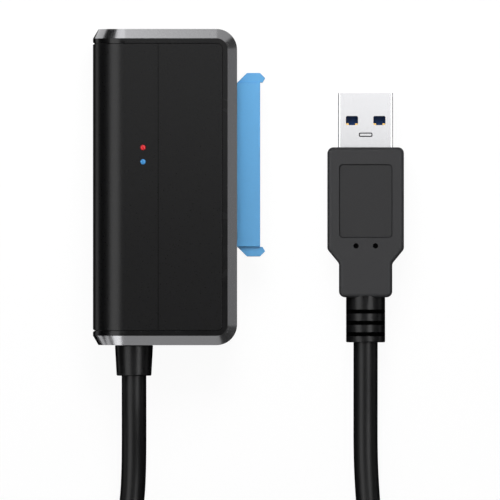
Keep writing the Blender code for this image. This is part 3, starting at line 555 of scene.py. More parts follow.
def edges_along(bm, axis, longer):
    """The edges that reach further than a length along an axis."""
    return [edge for edge in bm.edges if abs(edge.verts[0].co[axis] - edge.verts[1].co[axis]) > longer]


def round_edges(bm, edges, radius, steps=3):
    bmesh.ops.bevel(
        bm, geom=edges, offset=radius, segments=steps, profile=0.5, affect="EDGES", material=-1)


def sharp_edges(bm, degrees=50):
    return [edge for edge in bm.edges if edge.is_manifold and edge.calc_face_angle() > math.radians(degrees)]


def cylinder(name, centre, radius, length, axis="Z"):
    """A cylinder about its centre, along Y or Z."""
    bm = bmesh.new()
    bmesh.ops.create_cone(
        bm, cap_ends=True, segments=TURNED_STEPS, radius1=radius, radius2=radius, depth=length)
    if axis == "Y":
        bmesh.ops.rotate(bm, verts=bm.verts, cent=(0, 0, 0), matrix=Matrix.Rotation(math.pi / 2, 3, "X"))
    bmesh.ops.translate(bm, vec=Vector(centre), verts=bm.verts)
    return mesh_object(name, bm)


def raise_outline(bm, height):
    """Fill a closed wire outline and raise it along a vector into a solid."""
    bmesh.ops.contextual_create(bm, geom=list(bm.edges))
    raised = bmesh.ops.extrude_face_region(bm, geom=list(bm.faces))
    bmesh.ops.translate(bm, vec=Vector(height), verts=verts_in(raised["geom"]))
    bmesh.ops.recalc_face_normals(bm, faces=bm.faces)
    bm.normal_update()


def outline_bmesh(points, height):
    """A solid raised from a closed outline of points along a vector."""
    bm = bmesh.new()
    verts = [bm.verts.new(point) for point in points]
    for first, second in zip(verts, verts[1:] + verts[:1]):
        bm.edges.new((first, second))
    raise_outline(bm, height)
    return bm


def housing_bmesh(inset, half_length, right):
    """A length of the housing's section: a half-round spine, two flat faces and a flat right side."""
    radius = SPINE_RADIUS - inset
    bm = bmesh.new()
    top = bm.verts.new((SPINE_X, -half_length, MID_Z + radius))
    spine = bmesh.ops.spin(
        bm, geom=[top], cent=(SPINE_X, -half_length, MID_Z), axis=(0, 1, 0), angle=-math.pi,
        steps=SPINE_STEPS, use_merge=False)
    bottom = verts_in(spine["geom_last"])[0]
    low = bm.verts.new((right, -half_length, MID_Z - radius))
    high = bm.verts.new((right, -half_length, MID_Z + radius))
    for pair in ((bottom, low), (low, high), (high, top)):
        bm.edges.new(pair)
    raise_outline(bm, (0, 2 * half_length, 0))
    return bm


def housing_bar(name, inset, half_length, right, corner, edge=0.0):
    """That length with its two right corners rounded, and its outer edges too if an edge is given."""
    bm = housing_bmesh(inset, half_length, right)
    standing = [edge for edge in edges_along(bm, Z, SPINE_RADIUS)
                if min(vert.co.x for vert in edge.verts) > right - corner]
    round_edges(bm, standing, corner, CORNER_STEPS)
    if edge:
        bm.normal_update()
        round_edges(bm, sharp_edges(bm), edge)
    return mesh_object(name, bm)


def chamfer_ends(bm, axis, inset, rise):
    """Raise a solid's two ends along an axis, drawn in as they rise, and mark the slopes as bright metal."""
    middle = sum(vert.co[axis] for vert in bm.verts) / len(bm.verts)
    for end in [one for one in bm.faces if len(one.verts) > 4]:
        direction = Vector((0, 0, 0))
        direction[axis] = math.copysign(1, end.calc_center_median()[axis] - middle)
        slopes = bmesh.ops.inset_region(bm, faces=[end], thickness=inset, use_even_offset=True)
        for slope in slopes["faces"]:
            slope.material_index = 1
        bmesh.ops.translate(bm, vec=direction * rise, verts=end.verts)


def frame_blank(sizes, materials):
    """The frame before it is hollowed: the housing's section with its ends and right edges chamfered."""
    bm = housing_bmesh(0, HALF_LENGTH - sizes.chamfer_run, RIGHT + THICKNESS)
    chamfer_ends(bm, Y, sizes.chamfer_drop, sizes.chamfer_run)
    blank = add_materials(mesh_object("trim_frame_looks", bm), materials)

    # The plan flares past the bar's ends, so only its right side and its corners cut the bar
    flare = 2 * sizes.corner
    bm = bmesh.new()
    ends = []
    for side in (-1, 1):
        corner_y = side * (HALF_LENGTH - sizes.corner)
        start = bm.verts.new((RIGHT, corner_y, sizes.chamfer_drop))
        arc = bmesh.ops.spin(
            bm, geom=[start], cent=(RIGHT - sizes.corner, corner_y, sizes.chamfer_drop), axis=(0, 0, side),
            angle=math.pi / 2, steps=CORNER_STEPS, use_merge=False)
        tangent = verts_in(arc["geom_last"])[0]
        flared = bm.verts.new((LEFT - flare, side * (HALF_LENGTH + flare), sizes.chamfer_drop))
        bm.edges.new((tangent, flared))
        ends.append((start, flared))
    for first, second in zip(*ends):
        bm.edges.new((first, second))
    raise_outline(bm, (0, 0, THICKNESS - 2 * sizes.chamfer_drop))
    chamfer_ends(bm, Z, sizes.chamfer_run, sizes.chamfer_drop)
    return combine(blank, add_materials(mesh_object("frame_plan", bm), materials), "INTERSECT")


def round_mouth(item, sizes):
    """Round the edges where the frame's front and back open round the covers."""
    bm = bmesh.new()
    bm.from_mesh(item.data)
    bm.normal_update()

    def on_mouth(point):
        radius = math.hypot(min(0, point.x - SPINE_X), point.z - MID_Z)
        inside = abs(point.y) < HALF_LENGTH - sizes.rim + NEAR and point.x < RIGHT - sizes.rim + NEAR
        return inside and radius > SPINE_RADIUS - NEAR

    mouth = [edge for edge in sharp_edges(bm) if all(on_mouth(vert.co) for vert in edge.verts)]
    round_edges(bm, mouth, sizes.edge)
    bm.to_mesh(item.data)
    bm.free()


def cut_notches(item, sizes):
    """Cut the small V at each end where the seams cross the spine's edge."""
    for side in (-1, 1):
        seam_y = side * (HALF_LENGTH - sizes.rim)
        points = [(LEFT - sizes.notch, seam_y + step * sizes.notch_width / 2, 0) for step in (-1, 1)]
        points.append((LEFT + sizes.notch, seam_y, 0))
        cut(item, mesh_object("notch", outline_bmesh(points, (0, 0, THICKNESS))))


class ADAPTER_OT_trim_frame(Operator):
    """Model the frame: two end caps and the right side, with bright cut chamfers"""
    bl_idname = "adapter.trim_frame"
    bl_label = "Trim Frame"

    def execute(self, context):
        sizes = context.scene.adapter_housing
        colours = context.scene.adapter_colours
        ears = context.scene.adapter_connector.ear_height
        rim = sizes.rim
        wall = sizes.wall
        gap = sizes.gap
        frame_piece = frame_blank(sizes, [gloss_abs(colours.frame_body), cut_metal(colours.chamfer)])
        cut(frame_piece,
            housing_bar("window", -wall, HALF_LENGTH - rim, RIGHT - rim, sizes.seam_corner),
            housing_bar("channel", sizes.lip, HALF_LENGTH - wall, RIGHT - wall, sizes.corner - wall),
            box("opening", (RIGHT - rim, BLOCK_LOW.y + ears - gap, BLOCK_LOW.z - gap),
                (RIGHT + wall, BLOCK_HIGH.y - ears + gap, BLOCK_HIGH.z + gap)),
            cylinder("gland_hole", (GLAND_X, -HALF_LENGTH, MID_Z),
                     context.scene.adapter_cable.gland_neck + gap, 4 * wall, "Y"))
        round_mouth(frame_piece, sizes)
        cut_notches(frame_piece, sizes)
        finish_piece(frame_piece, ["trim_frame"], [], sharp_angle=20)
        return {"FINISHED"}


def build_cover(name, sizes, front):
    """A black cover: half of the skin with its spine, and a flange that runs in the frame's channel."""
    rim = sizes.rim
    gap = sizes.gap
    wall = sizes.wall
    skin_half = HALF_LENGTH - rim - gap
    skin_right = RIGHT - rim - gap
    inset = wall + gap
    cover = housing_bar(name, 0, skin_half, skin_right, sizes.seam_corner - gap, sizes.edge)
    seat = sizes.lip + gap
    join(cover, housing_bar("flange", seat, HALF_LENGTH - inset, RIGHT - inset, sizes.corner - inset))
    depth = seat + sizes.flange
    far = 2 * HALF_LENGTH
    half = (-far, MID_Z + gap / 2) if front else (MID_Z - gap / 2, far)
    cut(cover,
        housing_bar("pocket", wall, skin_half - wall, skin_right - wall, sizes.seam_corner),
        housing_bar("hollow", depth, far, RIGHT + depth, sizes.seam_corner),
        box("other_half", (-far, -far, half[0]), (far, far, half[1])))
    board_low, board_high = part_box("circuit_board")
    posts = (
        (SPINE_X, board_high.y - 2 * sizes.post), (SPINE_X, board_low.y + 6 * sizes.post),
        (RIGHT - rim - 5 * sizes.post, board_low.y + 2 * sizes.post))
    for x, y in posts:
        low = BOARD_TOP + gap if front else wall / 2
        high = THICKNESS - wall / 2 if front else board_low.z - gap
        join(cover, cylinder("post", (x, y, (low + high) / 2), sizes.post, high - low))
    cut_notches(cover, sizes)
    return cover


class ADAPTER_OT_covers(Operator):
    """Model the two black covers, with holes for the light pipes and a fine groove"""
    bl_idname = "adapter.covers"
    bl_label = "Covers"

    def execute(self, context):
        sizes = context.scene.adapter_housing
        colour = context.scene.adapter_colours.cover
        materials = [satin_abs(colour), groove_shade_paint(colour)]
        front = add_materials(build_cover("front_cover_looks", sizes, front=True), materials)
        for name in ("light_pipe_red", "light_pipe_blue"):
            low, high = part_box(name)
            middle = (low + high) / 2
            place = (middle.x, middle.y, THICKNESS)
            cut(front, cylinder("light_hole", place, sizes.light_hole, 4 * sizes.wall))
        groove_x = LEFT + sizes.groove_offset
        groove = box(
            "groove", (groove_x - sizes.groove / 2, -HALF_LENGTH, THICKNESS - 2 * sizes.groove),
            (groove_x + sizes.groove / 2, HALF_LENGTH, THICKNESS + sizes.wall))
        # The groove's walls and floor get the near-black material as painted shade, so the groove reads as a
        # dark line.
        cut(front, paint_cut_shade(groove, 1, materials))
        finish_piece(front, ["front_cover"], [])
        rear = build_cover("rear_cover_looks", sizes, front=False)
        finish_piece(rear, ["rear_cover"], materials[:1])
        return {"FINISHED"}


class ADAPTER_OT_light_pipes(Operator):
    """Model the two light pipes with their domed ends, and colour the lamps under them"""
    bl_idname = "adapter.light_pipes"
    bl_label = "Light Pipes"

    def execute(self, context):
        sizes = context.scene.adapter_housing
        colours = context.scene.adapter_colours
        radius = sizes.light_pipe
        flange_top = THICKNESS - sizes.light_depth
        flange_low = flange_top - sizes.light_flange
        for name, colour in (("red", colours.red_lamp), ("blue", colours.blue_lamp)):
            node = "light_pipe_" + name
            low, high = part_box(node)
            middle = (low + high) / 2
            flange = (high.x - low.x) / 2
            # The dome goes out by shares of the radius and down by shares of its own height
            profile = [(across * radius, high.z - down * sizes.light_dome)
                       for across, down in ((0, 0), (0.5, 0.2), (0.85, 0.6), (1, 1))]
            profile += [(radius, flange_top), (flange, flange_top), (flange, flange_low),
                        (radius, flange_low), (radius, low.z), (0, low.z)]
            item = mesh_object(node + "_looks", turned_bmesh(profile, (middle.x, middle.y, 0)))
            material = lamp_acrylic(f"Tinted Acrylic, {name.capitalize()}", colour)
            finish_piece(item, [node], [material])
            dress(["led_" + name], material)
        return {"FINISHED"}


def turned_bmesh(profile, place, axis="Z"):
    """A solid turned from (radius, height) points about Z, or about Y with its height along Y."""
    bm = bmesh.new()
    verts = [bm.verts.new((radius, 0, height)) for radius, height in profile]
    for first, second in zip(verts, verts[1:]):
        bm.edges.new((first, second))
    bmesh.ops.spin(
        bm, geom=list(bm.verts) + list(bm.edges), cent=(0, 0, 0), axis=(0, 0, 1), angle=2 * math.pi,
        steps=TURNED_STEPS, use_merge=True)
    bmesh.ops.remove_doubles(bm, verts=bm.verts, dist=0.001 * MM)
    if axis == "Y":
        bmesh.ops.rotate(bm, verts=bm.verts, cent=(0, 0, 0), matrix=Matrix.Rotation(-math.pi / 2, 3, "X"))
    bmesh.ops.translate(bm, vec=Vector(place), verts=bm.verts)
    bmesh.ops.recalc_face_normals(bm, faces=bm.faces)
    bm.normal_update()
    return bm


class ADAPTER_OT_drive_connector(Operator):
    """Model the blue drive connector with its slots and guide ears, and gild its contacts"""
    bl_idname = "adapter.drive_connector"
    bl_label = "Drive Connector"

    def execute(self, context):
        sizes = context.scene.adapter_connector
        ears = sizes.ear_height
        face = BLOCK_HIGH.x - sizes.ear_overhang
        low = Vector((BLOCK_LOW.x, BLOCK_LOW.y + ears, BLOCK_LOW.z))
        high = Vector((face, BLOCK_HIGH.y - ears, BLOCK_HIGH.z))
        middle = (low + high) / 2
        block = box("sata_connector_looks", low, high, sizes.edge)
        body = high.y - middle.y
        start = RIGHT + context.scene.adapter_housing.gap
        tip = BLOCK_HIGH.x
        for side in (-1, 1):
            outline = [
                (start, body - ears), (start, body), (start + ears, body + ears),
                (tip - sizes.ear_nose, body + ears), (tip, body + ears - sizes.ear_nose),
                (tip - sizes.ear_nose / 2, body), (face, body), (face - sizes.ear_overhang, body - ears)]
            points = [(x, middle.y + side * y, middle.z - sizes.ear_thickness / 2) for x, y in outline]
            bm = outline_bmesh(points, (0, 0, sizes.ear_thickness))
            round_edges(bm, sharp_edges(bm, degrees=30), sizes.edge / 2, steps=2)
            join(block, mesh_object("ear", bm))
        slot_low = middle.z - sizes.slot_height / 2
        slot_high = slot_low + sizes.slot_height
        floor = face - sizes.slot_depth
        for contacts, key_high in ((SIGNAL_CONTACTS, True), (POWER_CONTACTS, False)):
            low_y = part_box(contacts[0])[0].y - sizes.slot_margin
            high_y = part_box(contacts[-1])[1].y + sizes.slot_margin
            key_y = high_y - sizes.key if key_high else low_y
            cut(block,
                box("slot", (floor, low_y, slot_low), (face + PAST, high_y, slot_high)),
                box("key", (floor, key_y, slot_low + sizes.slot_height / 2),
                    (face + PAST, key_y + sizes.key, slot_high + sizes.key_height)),
                box("passage", (low.x - PAST, low_y + sizes.passage, slot_low),
                    (face - sizes.slot_depth / 2, high_y - sizes.passage, slot_low + sizes.slot_height / 2)))
        finish_piece(block, ["sata_connector"],
                     [moulded_pbt(context.scene.adapter_colours.connector)])
        dress(SIGNAL_CONTACTS + POWER_CONTACTS, gold_plate())
        return {"FINISHED"}


class ADAPTER_OT_board(Operator):
    """Dress the circuit board, its chips, cans and wires"""
    bl_idname = "adapter.board"
    bl_label = "Board"

    def execute(self, context):
        dress(["circuit_board"], solder_mask())
        dress(["bridge_chip", "flash_chip", "regulator", "power_inductor"], chip_epoxy())
        dress(["crystal", "capacitor_1", "capacitor_2"], drawn_tin())
        cores = (("Red Core", "#b01c1c"), ("Black Core", "#1c1c1c"), ("Green Core", "#1c8038"),
                 ("White Core", "#dcdcda"))
        for index, (name, hex_colour) in enumerate(cores):
            dress([f"wire_{index + 1}"], core_pvc(name + ", PVC", hex_colour))
        return {"FINISHED"}


class ADAPTER_OT_gland(Operator):
    """Model the moulded gland that the cable leaves the housing through"""
    bl_idname = "adapter.gland"
    bl_label = "Gland"

    def execute(self, context):
        sizes = context.scene.adapter_cable
        gap = context.scene.adapter_housing.gap
        wall = context.scene.adapter_housing.wall
        outside = -HALF_LENGTH - gap / 4
        inside = -HALF_LENGTH + wall + gap
        bore = (sizes.diameter + gap) / 2
        profile = [
            (0, GLAND_HIGH.y), (sizes.gland_collar, GLAND_HIGH.y), (sizes.gland_collar, inside),
            (sizes.gland_neck, inside), (sizes.gland_neck, outside), (sizes.gland_base, outside),
            (sizes.gland_tip, GLAND_LOW.y), (bore, GLAND_LOW.y), (bore, GLAND_LOW.y + 2 * sizes.seat),
            (0, GLAND_LOW.y + 2 * sizes.seat)]
        bm = turned_bmesh(profile, (GLAND_X, 0, MID_Z), "Y")
        outer = [edge for edge in sharp_edges(bm)
                 if min((vert.co - Vector((GLAND_X, vert.co.y, MID_Z))).length for vert in edge.verts)
                 > sizes.gland_collar]
        round_edges(bm, outer, sizes.gland_edge)
        gland = mesh_object("cable_gland_looks", bm)
        finish_piece(gland, ["cable_gland"], [gland_pvc(context.scene.adapter_colours.cable)])
        return {"FINISHED"}


def build_relief(sizes, bore, seat, materials):
    """The round relief under the grip's neck, bored for the cable's end."""
    place = (PLUG_X, 0, PLUG_Z)
    neck_end = GRIP_HIGH.y - sizes.grip_length - sizes.taper - sizes.neck_length
    top = neck_end + sizes.neck_length / 2
    floor = GRIP_LOW.y + 2 * seat
    profile = [(0, top), (sizes.relief, top), (sizes.relief, GRIP_LOW.y), (bore, GRIP_LOW.y), (bore, floor),
               (0, floor)]
    bm = turned_bmesh(profile, place, "Y")
    rim = [edge for edge in sharp_edges(bm)
           if all(math.hypot(vert.co.x - PLUG_X, vert.co.z - PLUG_Z) > (sizes.relief + bore) / 2
                  and vert.co.y < neck_end for vert in edge.verts)]
    round_edges(bm, rim, sizes.relief_edge)
    for face in bm.faces:
        face.material_index = 1
    return add_materials(mesh_object("relief", bm), materials)


def cut_grooves(grip, sizes, materials):
    """Cut the relief's grooves, open to the front and the back, with a web left at each side."""
    inner = sizes.relief - sizes.groove_depth
    outer = sizes.relief + sizes.groove_depth
    first = GRIP_HIGH.y - sizes.grip_length - sizes.taper - sizes.neck_length - sizes.first_groove
    bm = turned_bmesh(
        [(radius, first + step * sizes.groove_width) for radius, step in (
            (outer, 0.5), (outer, -0.5), (inner, -0.5), (inner, 0.5), (outer, 0.5))],
        (PLUG_X, 0, PLUG_Z), "Y")
    ring = list(bm.verts) + list(bm.edges) + list(bm.faces)
    for index in range(1, GROOVES):
        copy = bmesh.ops.duplicate(bm, geom=ring)["geom"]
        bmesh.ops.translate(bm, vec=(0, -index * sizes.groove_pitch, 0), verts=verts_in(copy))
    grooves = mesh_object("grooves", bm)
    cut(grooves, box("web", (PLUG_X - 2 * outer, 2 * GRIP_LOW.y, PLUG_Z - sizes.web / 2),
                     (PLUG_X + 2 * outer, first + outer, PLUG_Z + sizes.web / 2)))
    # The grooves' faces get the near-black material: painted shade in the grooves.
    cut(grip, paint_cut_shade(grooves, 2, materials))


class ADAPTER_OT_plug_grip(Operator):
    """Model the plug's soft grip with its recess, dimples and ribbed relief"""
    bl_idname = "adapter.plug_grip"
    bl_label = "Plug Grip"

    def execute(self, context):
        sizes = context.scene.adapter_plug
        half = GRIP_HIGH.x - PLUG_X
        neck = sizes.neck_width / 2
        taper_y = GRIP_HIGH.y - sizes.grip_length
        neck_y = taper_y - sizes.taper
        end_y = neck_y - sizes.neck_length
        right_side = [(half, GRIP_HIGH.y), (half, taper_y), (neck, neck_y), (neck, end_y)]
        outline = right_side + [(-x, y) for x, y in reversed(right_side)]
        points = [(PLUG_X + x, y, GRIP_LOW.z) for x, y in outline]
        bm = outline_bmesh(points, (0, 0, GRIP_HIGH.z - GRIP_LOW.z))
        for cut_back, levels in ((sizes.taper_corner, (taper_y, neck_y)),
                                 (sizes.corner, (GRIP_HIGH.y, end_y))):
            standing = [edge for edge in edges_along(bm, Z, sizes.edge)
                        if any(abs(edge.verts[0].co.y - level) < NEAR for level in levels)]
            round_edges(bm, standing, cut_back, FOLD_STEPS)
        bm.normal_update()
        round_edges(bm, sharp_edges(bm, degrees=60), sizes.edge, FOLD_STEPS)
        colours = context.scene.adapter_colours
        # Index 2 is near-black painted shade for the grooves and dimples; index 3 is a darker copy of the
        # grip's material, painted shade in the recess.
        recess_shade_tone = shade(colours.grip, 0.68)
        materials = [grip_tpe(colours.grip), gland_pvc(colours.cable), groove_shade_paint(colours.cable),
                     grip_tpe(recess_shade_tone)]
        grip = add_materials(mesh_object("plug_grip", bm), materials)

        gap = context.scene.adapter_housing.gap
        cable = context.scene.adapter_cable
        join(grip, build_relief(sizes, (cable.diameter + gap) / 2, cable.seat, materials))

        recess_top = GRIP_HIGH.y - sizes.recess_inset
        half_size = Vector((sizes.recess_width / 2, sizes.recess_length / 2, sizes.recess_depth))
        slope = 2 * sizes.recess_slope
        flare = Vector((1 + slope / half_size.x, 1 + slope / half_size.y, 1))
        for face_z, way in ((GRIP_HIGH.z, 1), (GRIP_LOW.z, -1)):
            centre = Vector((PLUG_X, recess_top - half_size.y, face_z))
            bm = box_bmesh(centre - half_size, centre + half_size)
            round_edges(bm, edges_along(bm, Z, sizes.recess_depth), sizes.recess_corner, steps=6)
            outer = [vert for vert in bm.verts if way * (vert.co.z - face_z) > 0]
            bmesh.ops.scale(bm, vec=flare, space=Matrix.Translation(-centre), verts=outer)
            # The recess's floor and slopes are painted darker, as painted shade.
            cut(grip, paint_cut_shade(mesh_object("recess", bm), 3, materials))
        dimple_y = recess_top - sizes.recess_length - sizes.dimple_inset
        for side in (-1, 1):
            bm = bmesh.new()
            bmesh.ops.create_uvsphere(bm, u_segments=24, v_segments=12, radius=sizes.dimple)
            centre = (PLUG_X + side * sizes.dimple_offset, dimple_y, GRIP_HIGH.z)
            bmesh.ops.translate(bm, vec=centre, verts=bm.verts)
            # The dimples are painted near black, as painted shade.
            cut(grip, paint_cut_shade(mesh_object("dimple", bm), 2, materials))
        cut(grip, shell_block("socket", sizes, gap, SHELL_LOW.y - gap, GRIP_HIGH.y + PAST))
        cut_grooves(grip, sizes, materials)
        finish_piece(grip, ["plug_overmold"], [])
        return {"FINISHED"}


def shell_block(name, sizes, grow, low_y, high_y):
    """A block of the plug shell's section, with rounded folds, grown all round."""
    bm = box_bmesh((SHELL_LOW.x - grow, low_y, SHELL_LOW.z - grow),
                   (SHELL_HIGH.x + grow, high_y, SHELL_HIGH.z + grow))
    round_edges(bm, edges_along(bm, Y, PAST), sizes.shell_corner + grow, FOLD_STEPS)
    return mesh_object(name, bm)


def rounded_slab(name, centre, width, length, height, radius):
    """A flat slab with rounded corners in plan, about its centre."""
    centre = Vector(centre)
    half = Vector((width, length, height)) / 2
    bm = box_bmesh(centre - half, centre + half)
    round_edges(bm, edges_along(bm, Z, height / 2), radius, steps=5)
    return mesh_object(name, bm)


class ADAPTER_OT_plug_shell(Operator):
    """Model the plug's folded shell with its windows and stop, and dress the tongue and contacts"""
    bl_idname = "adapter.plug_shell"
    bl_label = "Plug Shell"

    def execute(self, context):
        sizes = context.scene.adapter_plug
        colours = context.scene.adapter_colours
        materials = [nickel_steel(colours.shell), groove_shade_paint(colours.shell)]
        shell = add_materials(shell_block("plug_shell", sizes, 0, SHELL_LOW.y, SHELL_HIGH.y), materials)
        cut(shell, shell_block("inside", sizes, -sizes.shell_wall, SHELL_LOW.y - PAST, SHELL_HIGH.y + PAST))
        window_y = SHELL_HIGH.y - sizes.window_inset
        through = 10 * MM
        for side in (-1, 1):
            cut(shell, rounded_slab(
                "window", (PLUG_X + side * sizes.window_spacing / 2, window_y, PLUG_Z),
                sizes.window_width, sizes.window_length, through, sizes.window_corner))

        # The small stop is pressed out of the top: an outline cut with a raised pad inside it
        stop = (PLUG_X, GRIP_HIGH.y + sizes.stop_inset, SHELL_HIGH.z)
        width = sizes.stop_width
        length = sizes.stop_length
        both_sides = 2 * sizes.stop_groove
        into_floor = 0.04 * MM
        groove = rounded_slab(
            "stop_groove", stop, width + both_sides, length + both_sides, both_sides, 2 * sizes.stop_corner)
        # The groove round the stop is painted dark, as painted shade, so it reads as a dark outline.
        cut(shell, paint_cut_shade(groove, 1, materials))
        join(shell, rounded_slab("stop_pad", stop, width, length, both_sides + into_floor, sizes.stop_corner))
        finish_piece(shell, ["usb_shell"], [])
        dress(["usb_insulator"], tongue_pbt(colours.tongue))
        dress(USB_CONTACTS + FAST_CONTACTS, gold_plate())
        return {"FINISHED"}


# Cable route, in millimetres: from the gland down to the coil, and from the coil to the plug
ROUTE_START = (
    (-9.85, -47, 6.95), (-9.85, -52, 6.1), (-9.87, -57, 5.0), (-9.95, -62, 4.0), (-10.2, -67, 3.4),
    (-10.8, -72, 3.15), (-11.9, -77, 3.15), (-13.08, -82.6, 3.3), (-13.9, -90, 3.35))
ROUTE_END = (
    (42.62, -92, 8.75), (42.58, -86, 8.55), (42.42, -80.6, 7.4), (41.9, -76, 6.0), (41.5, -71, 4.8),
    (41.15, -66, 3.9), (40.9, -61, 3.3), (40.8, -56, 3.05), (40.79, -51, 3.1), (40.79, -46, 3.4),
    (40.79, -41, 3.95), (40.79, -37.5, 4.25))

# Where the coil starts and ends, its steps, and how its turns shift between its lanes, in degrees round it
COIL_START = 180
COIL_END = 1080
COIL_STEP = 15
COIL_SHIFTS = {
    "inwards": (450, 540),
    "climb": (720, 800),
    "onto_top": (740, 810),
    "into_groove": (900, 930),
    "out_of_groove": (1045, 1080),
}


def eased(angle, name):
    """How far a named shift has gone at an angle, from 0 to 1."""
    start, end = COIL_SHIFTS[name]
    share = min(1, max(0, (angle - start) / (end - start)))
    return share * share * (3 - 2 * share)


def coil_points(diameter):
    """Two and a half turns: one on the outside, one inside it, and a half turn more on top."""
    middle_radius = (RING_HIGH.x - RING_LOW.x) / 2 - diameter
    floor_z = RING_LOW.z + diameter / 2
    top_z = RING_HIGH.z - diameter / 2
    groove = top_z - floor_z - diameter * math.sqrt(3) / 2
    points = []
    for angle in range(COIL_START, COIL_END + 1, COIL_STEP):
        lane = 0.5 - eased(angle, "inwards") + 0.5 * eased(angle, "onto_top")
        height = floor_z + (top_z - floor_z) * eased(angle, "climb")
        height -= groove * (eased(angle, "into_groove") - eased(angle, "out_of_groove"))
        radius = middle_radius + lane * diameter
        turn = math.radians(angle)
        points.append(Vector((
            RING_CENTRE.x + radius * math.cos(turn), RING_CENTRE.y + radius * math.sin(turn), height)))
    return points


def smooth_route(route, steps):
    """Points of a smooth curve through the route's own points."""
    padded = [2 * route[0] - route[1]] + route + [2 * route[-1] - route[-2]]
    points = []
    for index in range(1, len(padded) - 2):
        before, start, end, after = padded[index - 1:index + 3]
        for step in range(steps):
            t = step / steps
            bend = 2 * start + (end - before) * t
            bend += (2 * before - 5 * start + 4 * end - after) * t ** 2
            bend += (3 * start - before - 3 * end + after) * t ** 3
            points.append(bend / 2)
    points.append(route[-1])
    return points


class ADAPTER_OT_cable(Operator):
    """Lay the cable from the gland through its coil to the plug, on one smooth curve"""
    bl_idname = "adapter.cable"
    bl_label = "Cable"

    def execute(self, context):
        sizes = context.scene.adapter_cable
        leave = Vector((GLAND_X, GLAND_LOW.y + sizes.seat, MID_Z))
        enter = Vector((PLUG_X, GRIP_LOW.y + sizes.seat, PLUG_Z))
        start = [Vector(point) * MM for point in ROUTE_START]
        end = [Vector(point) * MM for point in ROUTE_END]
        route = [leave] + start + coil_points(sizes.diameter) + end + [enter]
        points = smooth_route(route, steps=5)
        curve = bpy.data.curves.new("round_cable", "CURVE")
        curve.dimensions = "3D"
        curve.bevel_depth = sizes.diameter / 2
        curve.bevel_resolution = 6
        curve.use_fill_caps = True
        spline = curve.splines.new("POLY")
        spline.points.add(len(points) - 1)
        for slot, point in zip(spline.points, points):
            slot.co = (*point, 1)
        spline.use_smooth = True
        cable = add_object("round_cable", curve)
        curve.materials.append(sheath_pvc(context.scene.adapter_colours.cable))
        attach(cable, BODY)
        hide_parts("cable_start", "cable_coil", "cable_end")
        return {"FINISHED"}


def strap_block(name, reach, inset, corner):
    """A block of the strap's section, set in all round and longer by a reach at both sides."""
    grow = Vector((-reach, inset, inset))
    bm = box_bmesh(TIE_LOW + grow, TIE_HIGH - grow)
    round_edges(bm, edges_along(bm, X, PAST), corner, FOLD_STEPS)
    return mesh_object(name, bm)


class ADAPTER_OT_strap(Operator):
    """Model the woven strap that holds the coil"""
    bl_idname = "adapter.strap"
    bl_label = "Strap"

    def execute(self, context):
        sizes = context.scene.adapter_cable
        strap = strap_block("cable_strap", 0, 0, sizes.strap_corner)
        cut(strap, strap_block("strap_inside", PAST, sizes.strap, sizes.strap_corner - sizes.strap))
        finish_piece(strap, ["cable_tie"], [woven_nylon()])
        return {"FINISHED"}


# How much of its own white the paper shows, and how much of the light it gives back, so its shadow is faint
PAPER_GLOW = 0.94
PAPER_GREY = 0.08

# What gloss sees of the sky: heights from the horizon, 0, to overhead, 1, with their brightness
SKY_ENDS = ((0.02, 1.0), (1.0, 0.4))
SKY_BETWEEN = ((0.12, 0.04), (0.80, 0.05), (0.94, 0.35))


def background_material():
    """Matt white paper: it shows white to the eye and in metal, and takes a faint shadow."""
    material = bpy.data.materials.new("Matt White Paper")
    material.use_nodes = True
    nodes = material.node_tree.nodes
    nodes.clear()
    path = add_node(material, "LightPath").outputs
    seen = add_node(material, "Math", {0: path["Is Camera Ray"], 1: path["Is Glossy Ray"]},
                    operation="ADD")
    seen = add_node(material, "Math", {0: seen.outputs[0], 1: path["Is Transmission Ray"]},
                    operation="ADD", use_clamp=True)
    glow = add_node(material, "Math", {0: seen.outputs[0], 1: PAPER_GLOW}, operation="MULTIPLY")
    paper = add_node(material, "BsdfDiffuse", {"Color": (PAPER_GREY, PAPER_GREY, PAPER_GREY, 1)})
    white = add_node(material, "Emission", {"Color": (1, 1, 1, 1), "Strength": glow.outputs[0]})
    both = add_node(material, "AddShader", {0: paper.outputs[0], 1: white.outputs[0]})
    add_node(material, "OutputMaterial", {"Surface": both.outputs[0]})
    return material


def build_world(fill):
    """Even light from all round. Gloss sees a pale horizon, a darker dome and a soft top light."""
    world = bpy.data.worlds.new("studio")
    bpy.context.scene.world = world
    world.use_nodes = True
    nodes = world.node_tree.nodes
    nodes.clear()
    direction = add_node(world, "TexCoord").outputs["Generated"]
    up = add_node(world, "SeparateXYZ", {"Vector": direction}).outputs["Z"]
    ramp = add_node(world, "ValToRGB", {"Fac": up})
    stops = ramp.color_ramp.elements
    for stop, (height, brightness) in zip(stops, SKY_ENDS):
        stop.position = height
        stop.color = (brightness, brightness, brightness, 1)
    for height, brightness in SKY_BETWEEN:
        stops.new(height).color = (brightness, brightness, brightness, 1)
    path = add_node(world, "LightPath").outputs
    even = add_node(world, "Mix", {
        0: path["Is Glossy Ray"], 6: (fill, fill, fill, 1), 7: ramp.outputs["Color"]}, data_type="RGBA")
    direct = add_node(world, "Math", {0: path["Is Camera Ray"], 1: path["Is Transmission Ray"]},
                      operation="ADD", use_clamp=True)
    seen = add_node(world, "Mix", {
        0: direct.outputs[0], 6: even.outputs[2], 7: (1, 1, 1, 1)}, data_type="RGBA")
    sky = add_node(world, "Background", {"Color": seen.outputs[2], "Strength": 1.0})
    add_node(world, "OutputWorld", {"Surface": sky.outputs[0]})


def toward(compass, down):
    """The direction at compass degrees from +Y towards +X, and at degrees down from overhead."""
    across = math.sin(math.radians(down))
    return Vector((across * math.sin(math.radians(compass)), across * math.cos(math.radians(compass)),
                   math.cos(math.radians(down))))


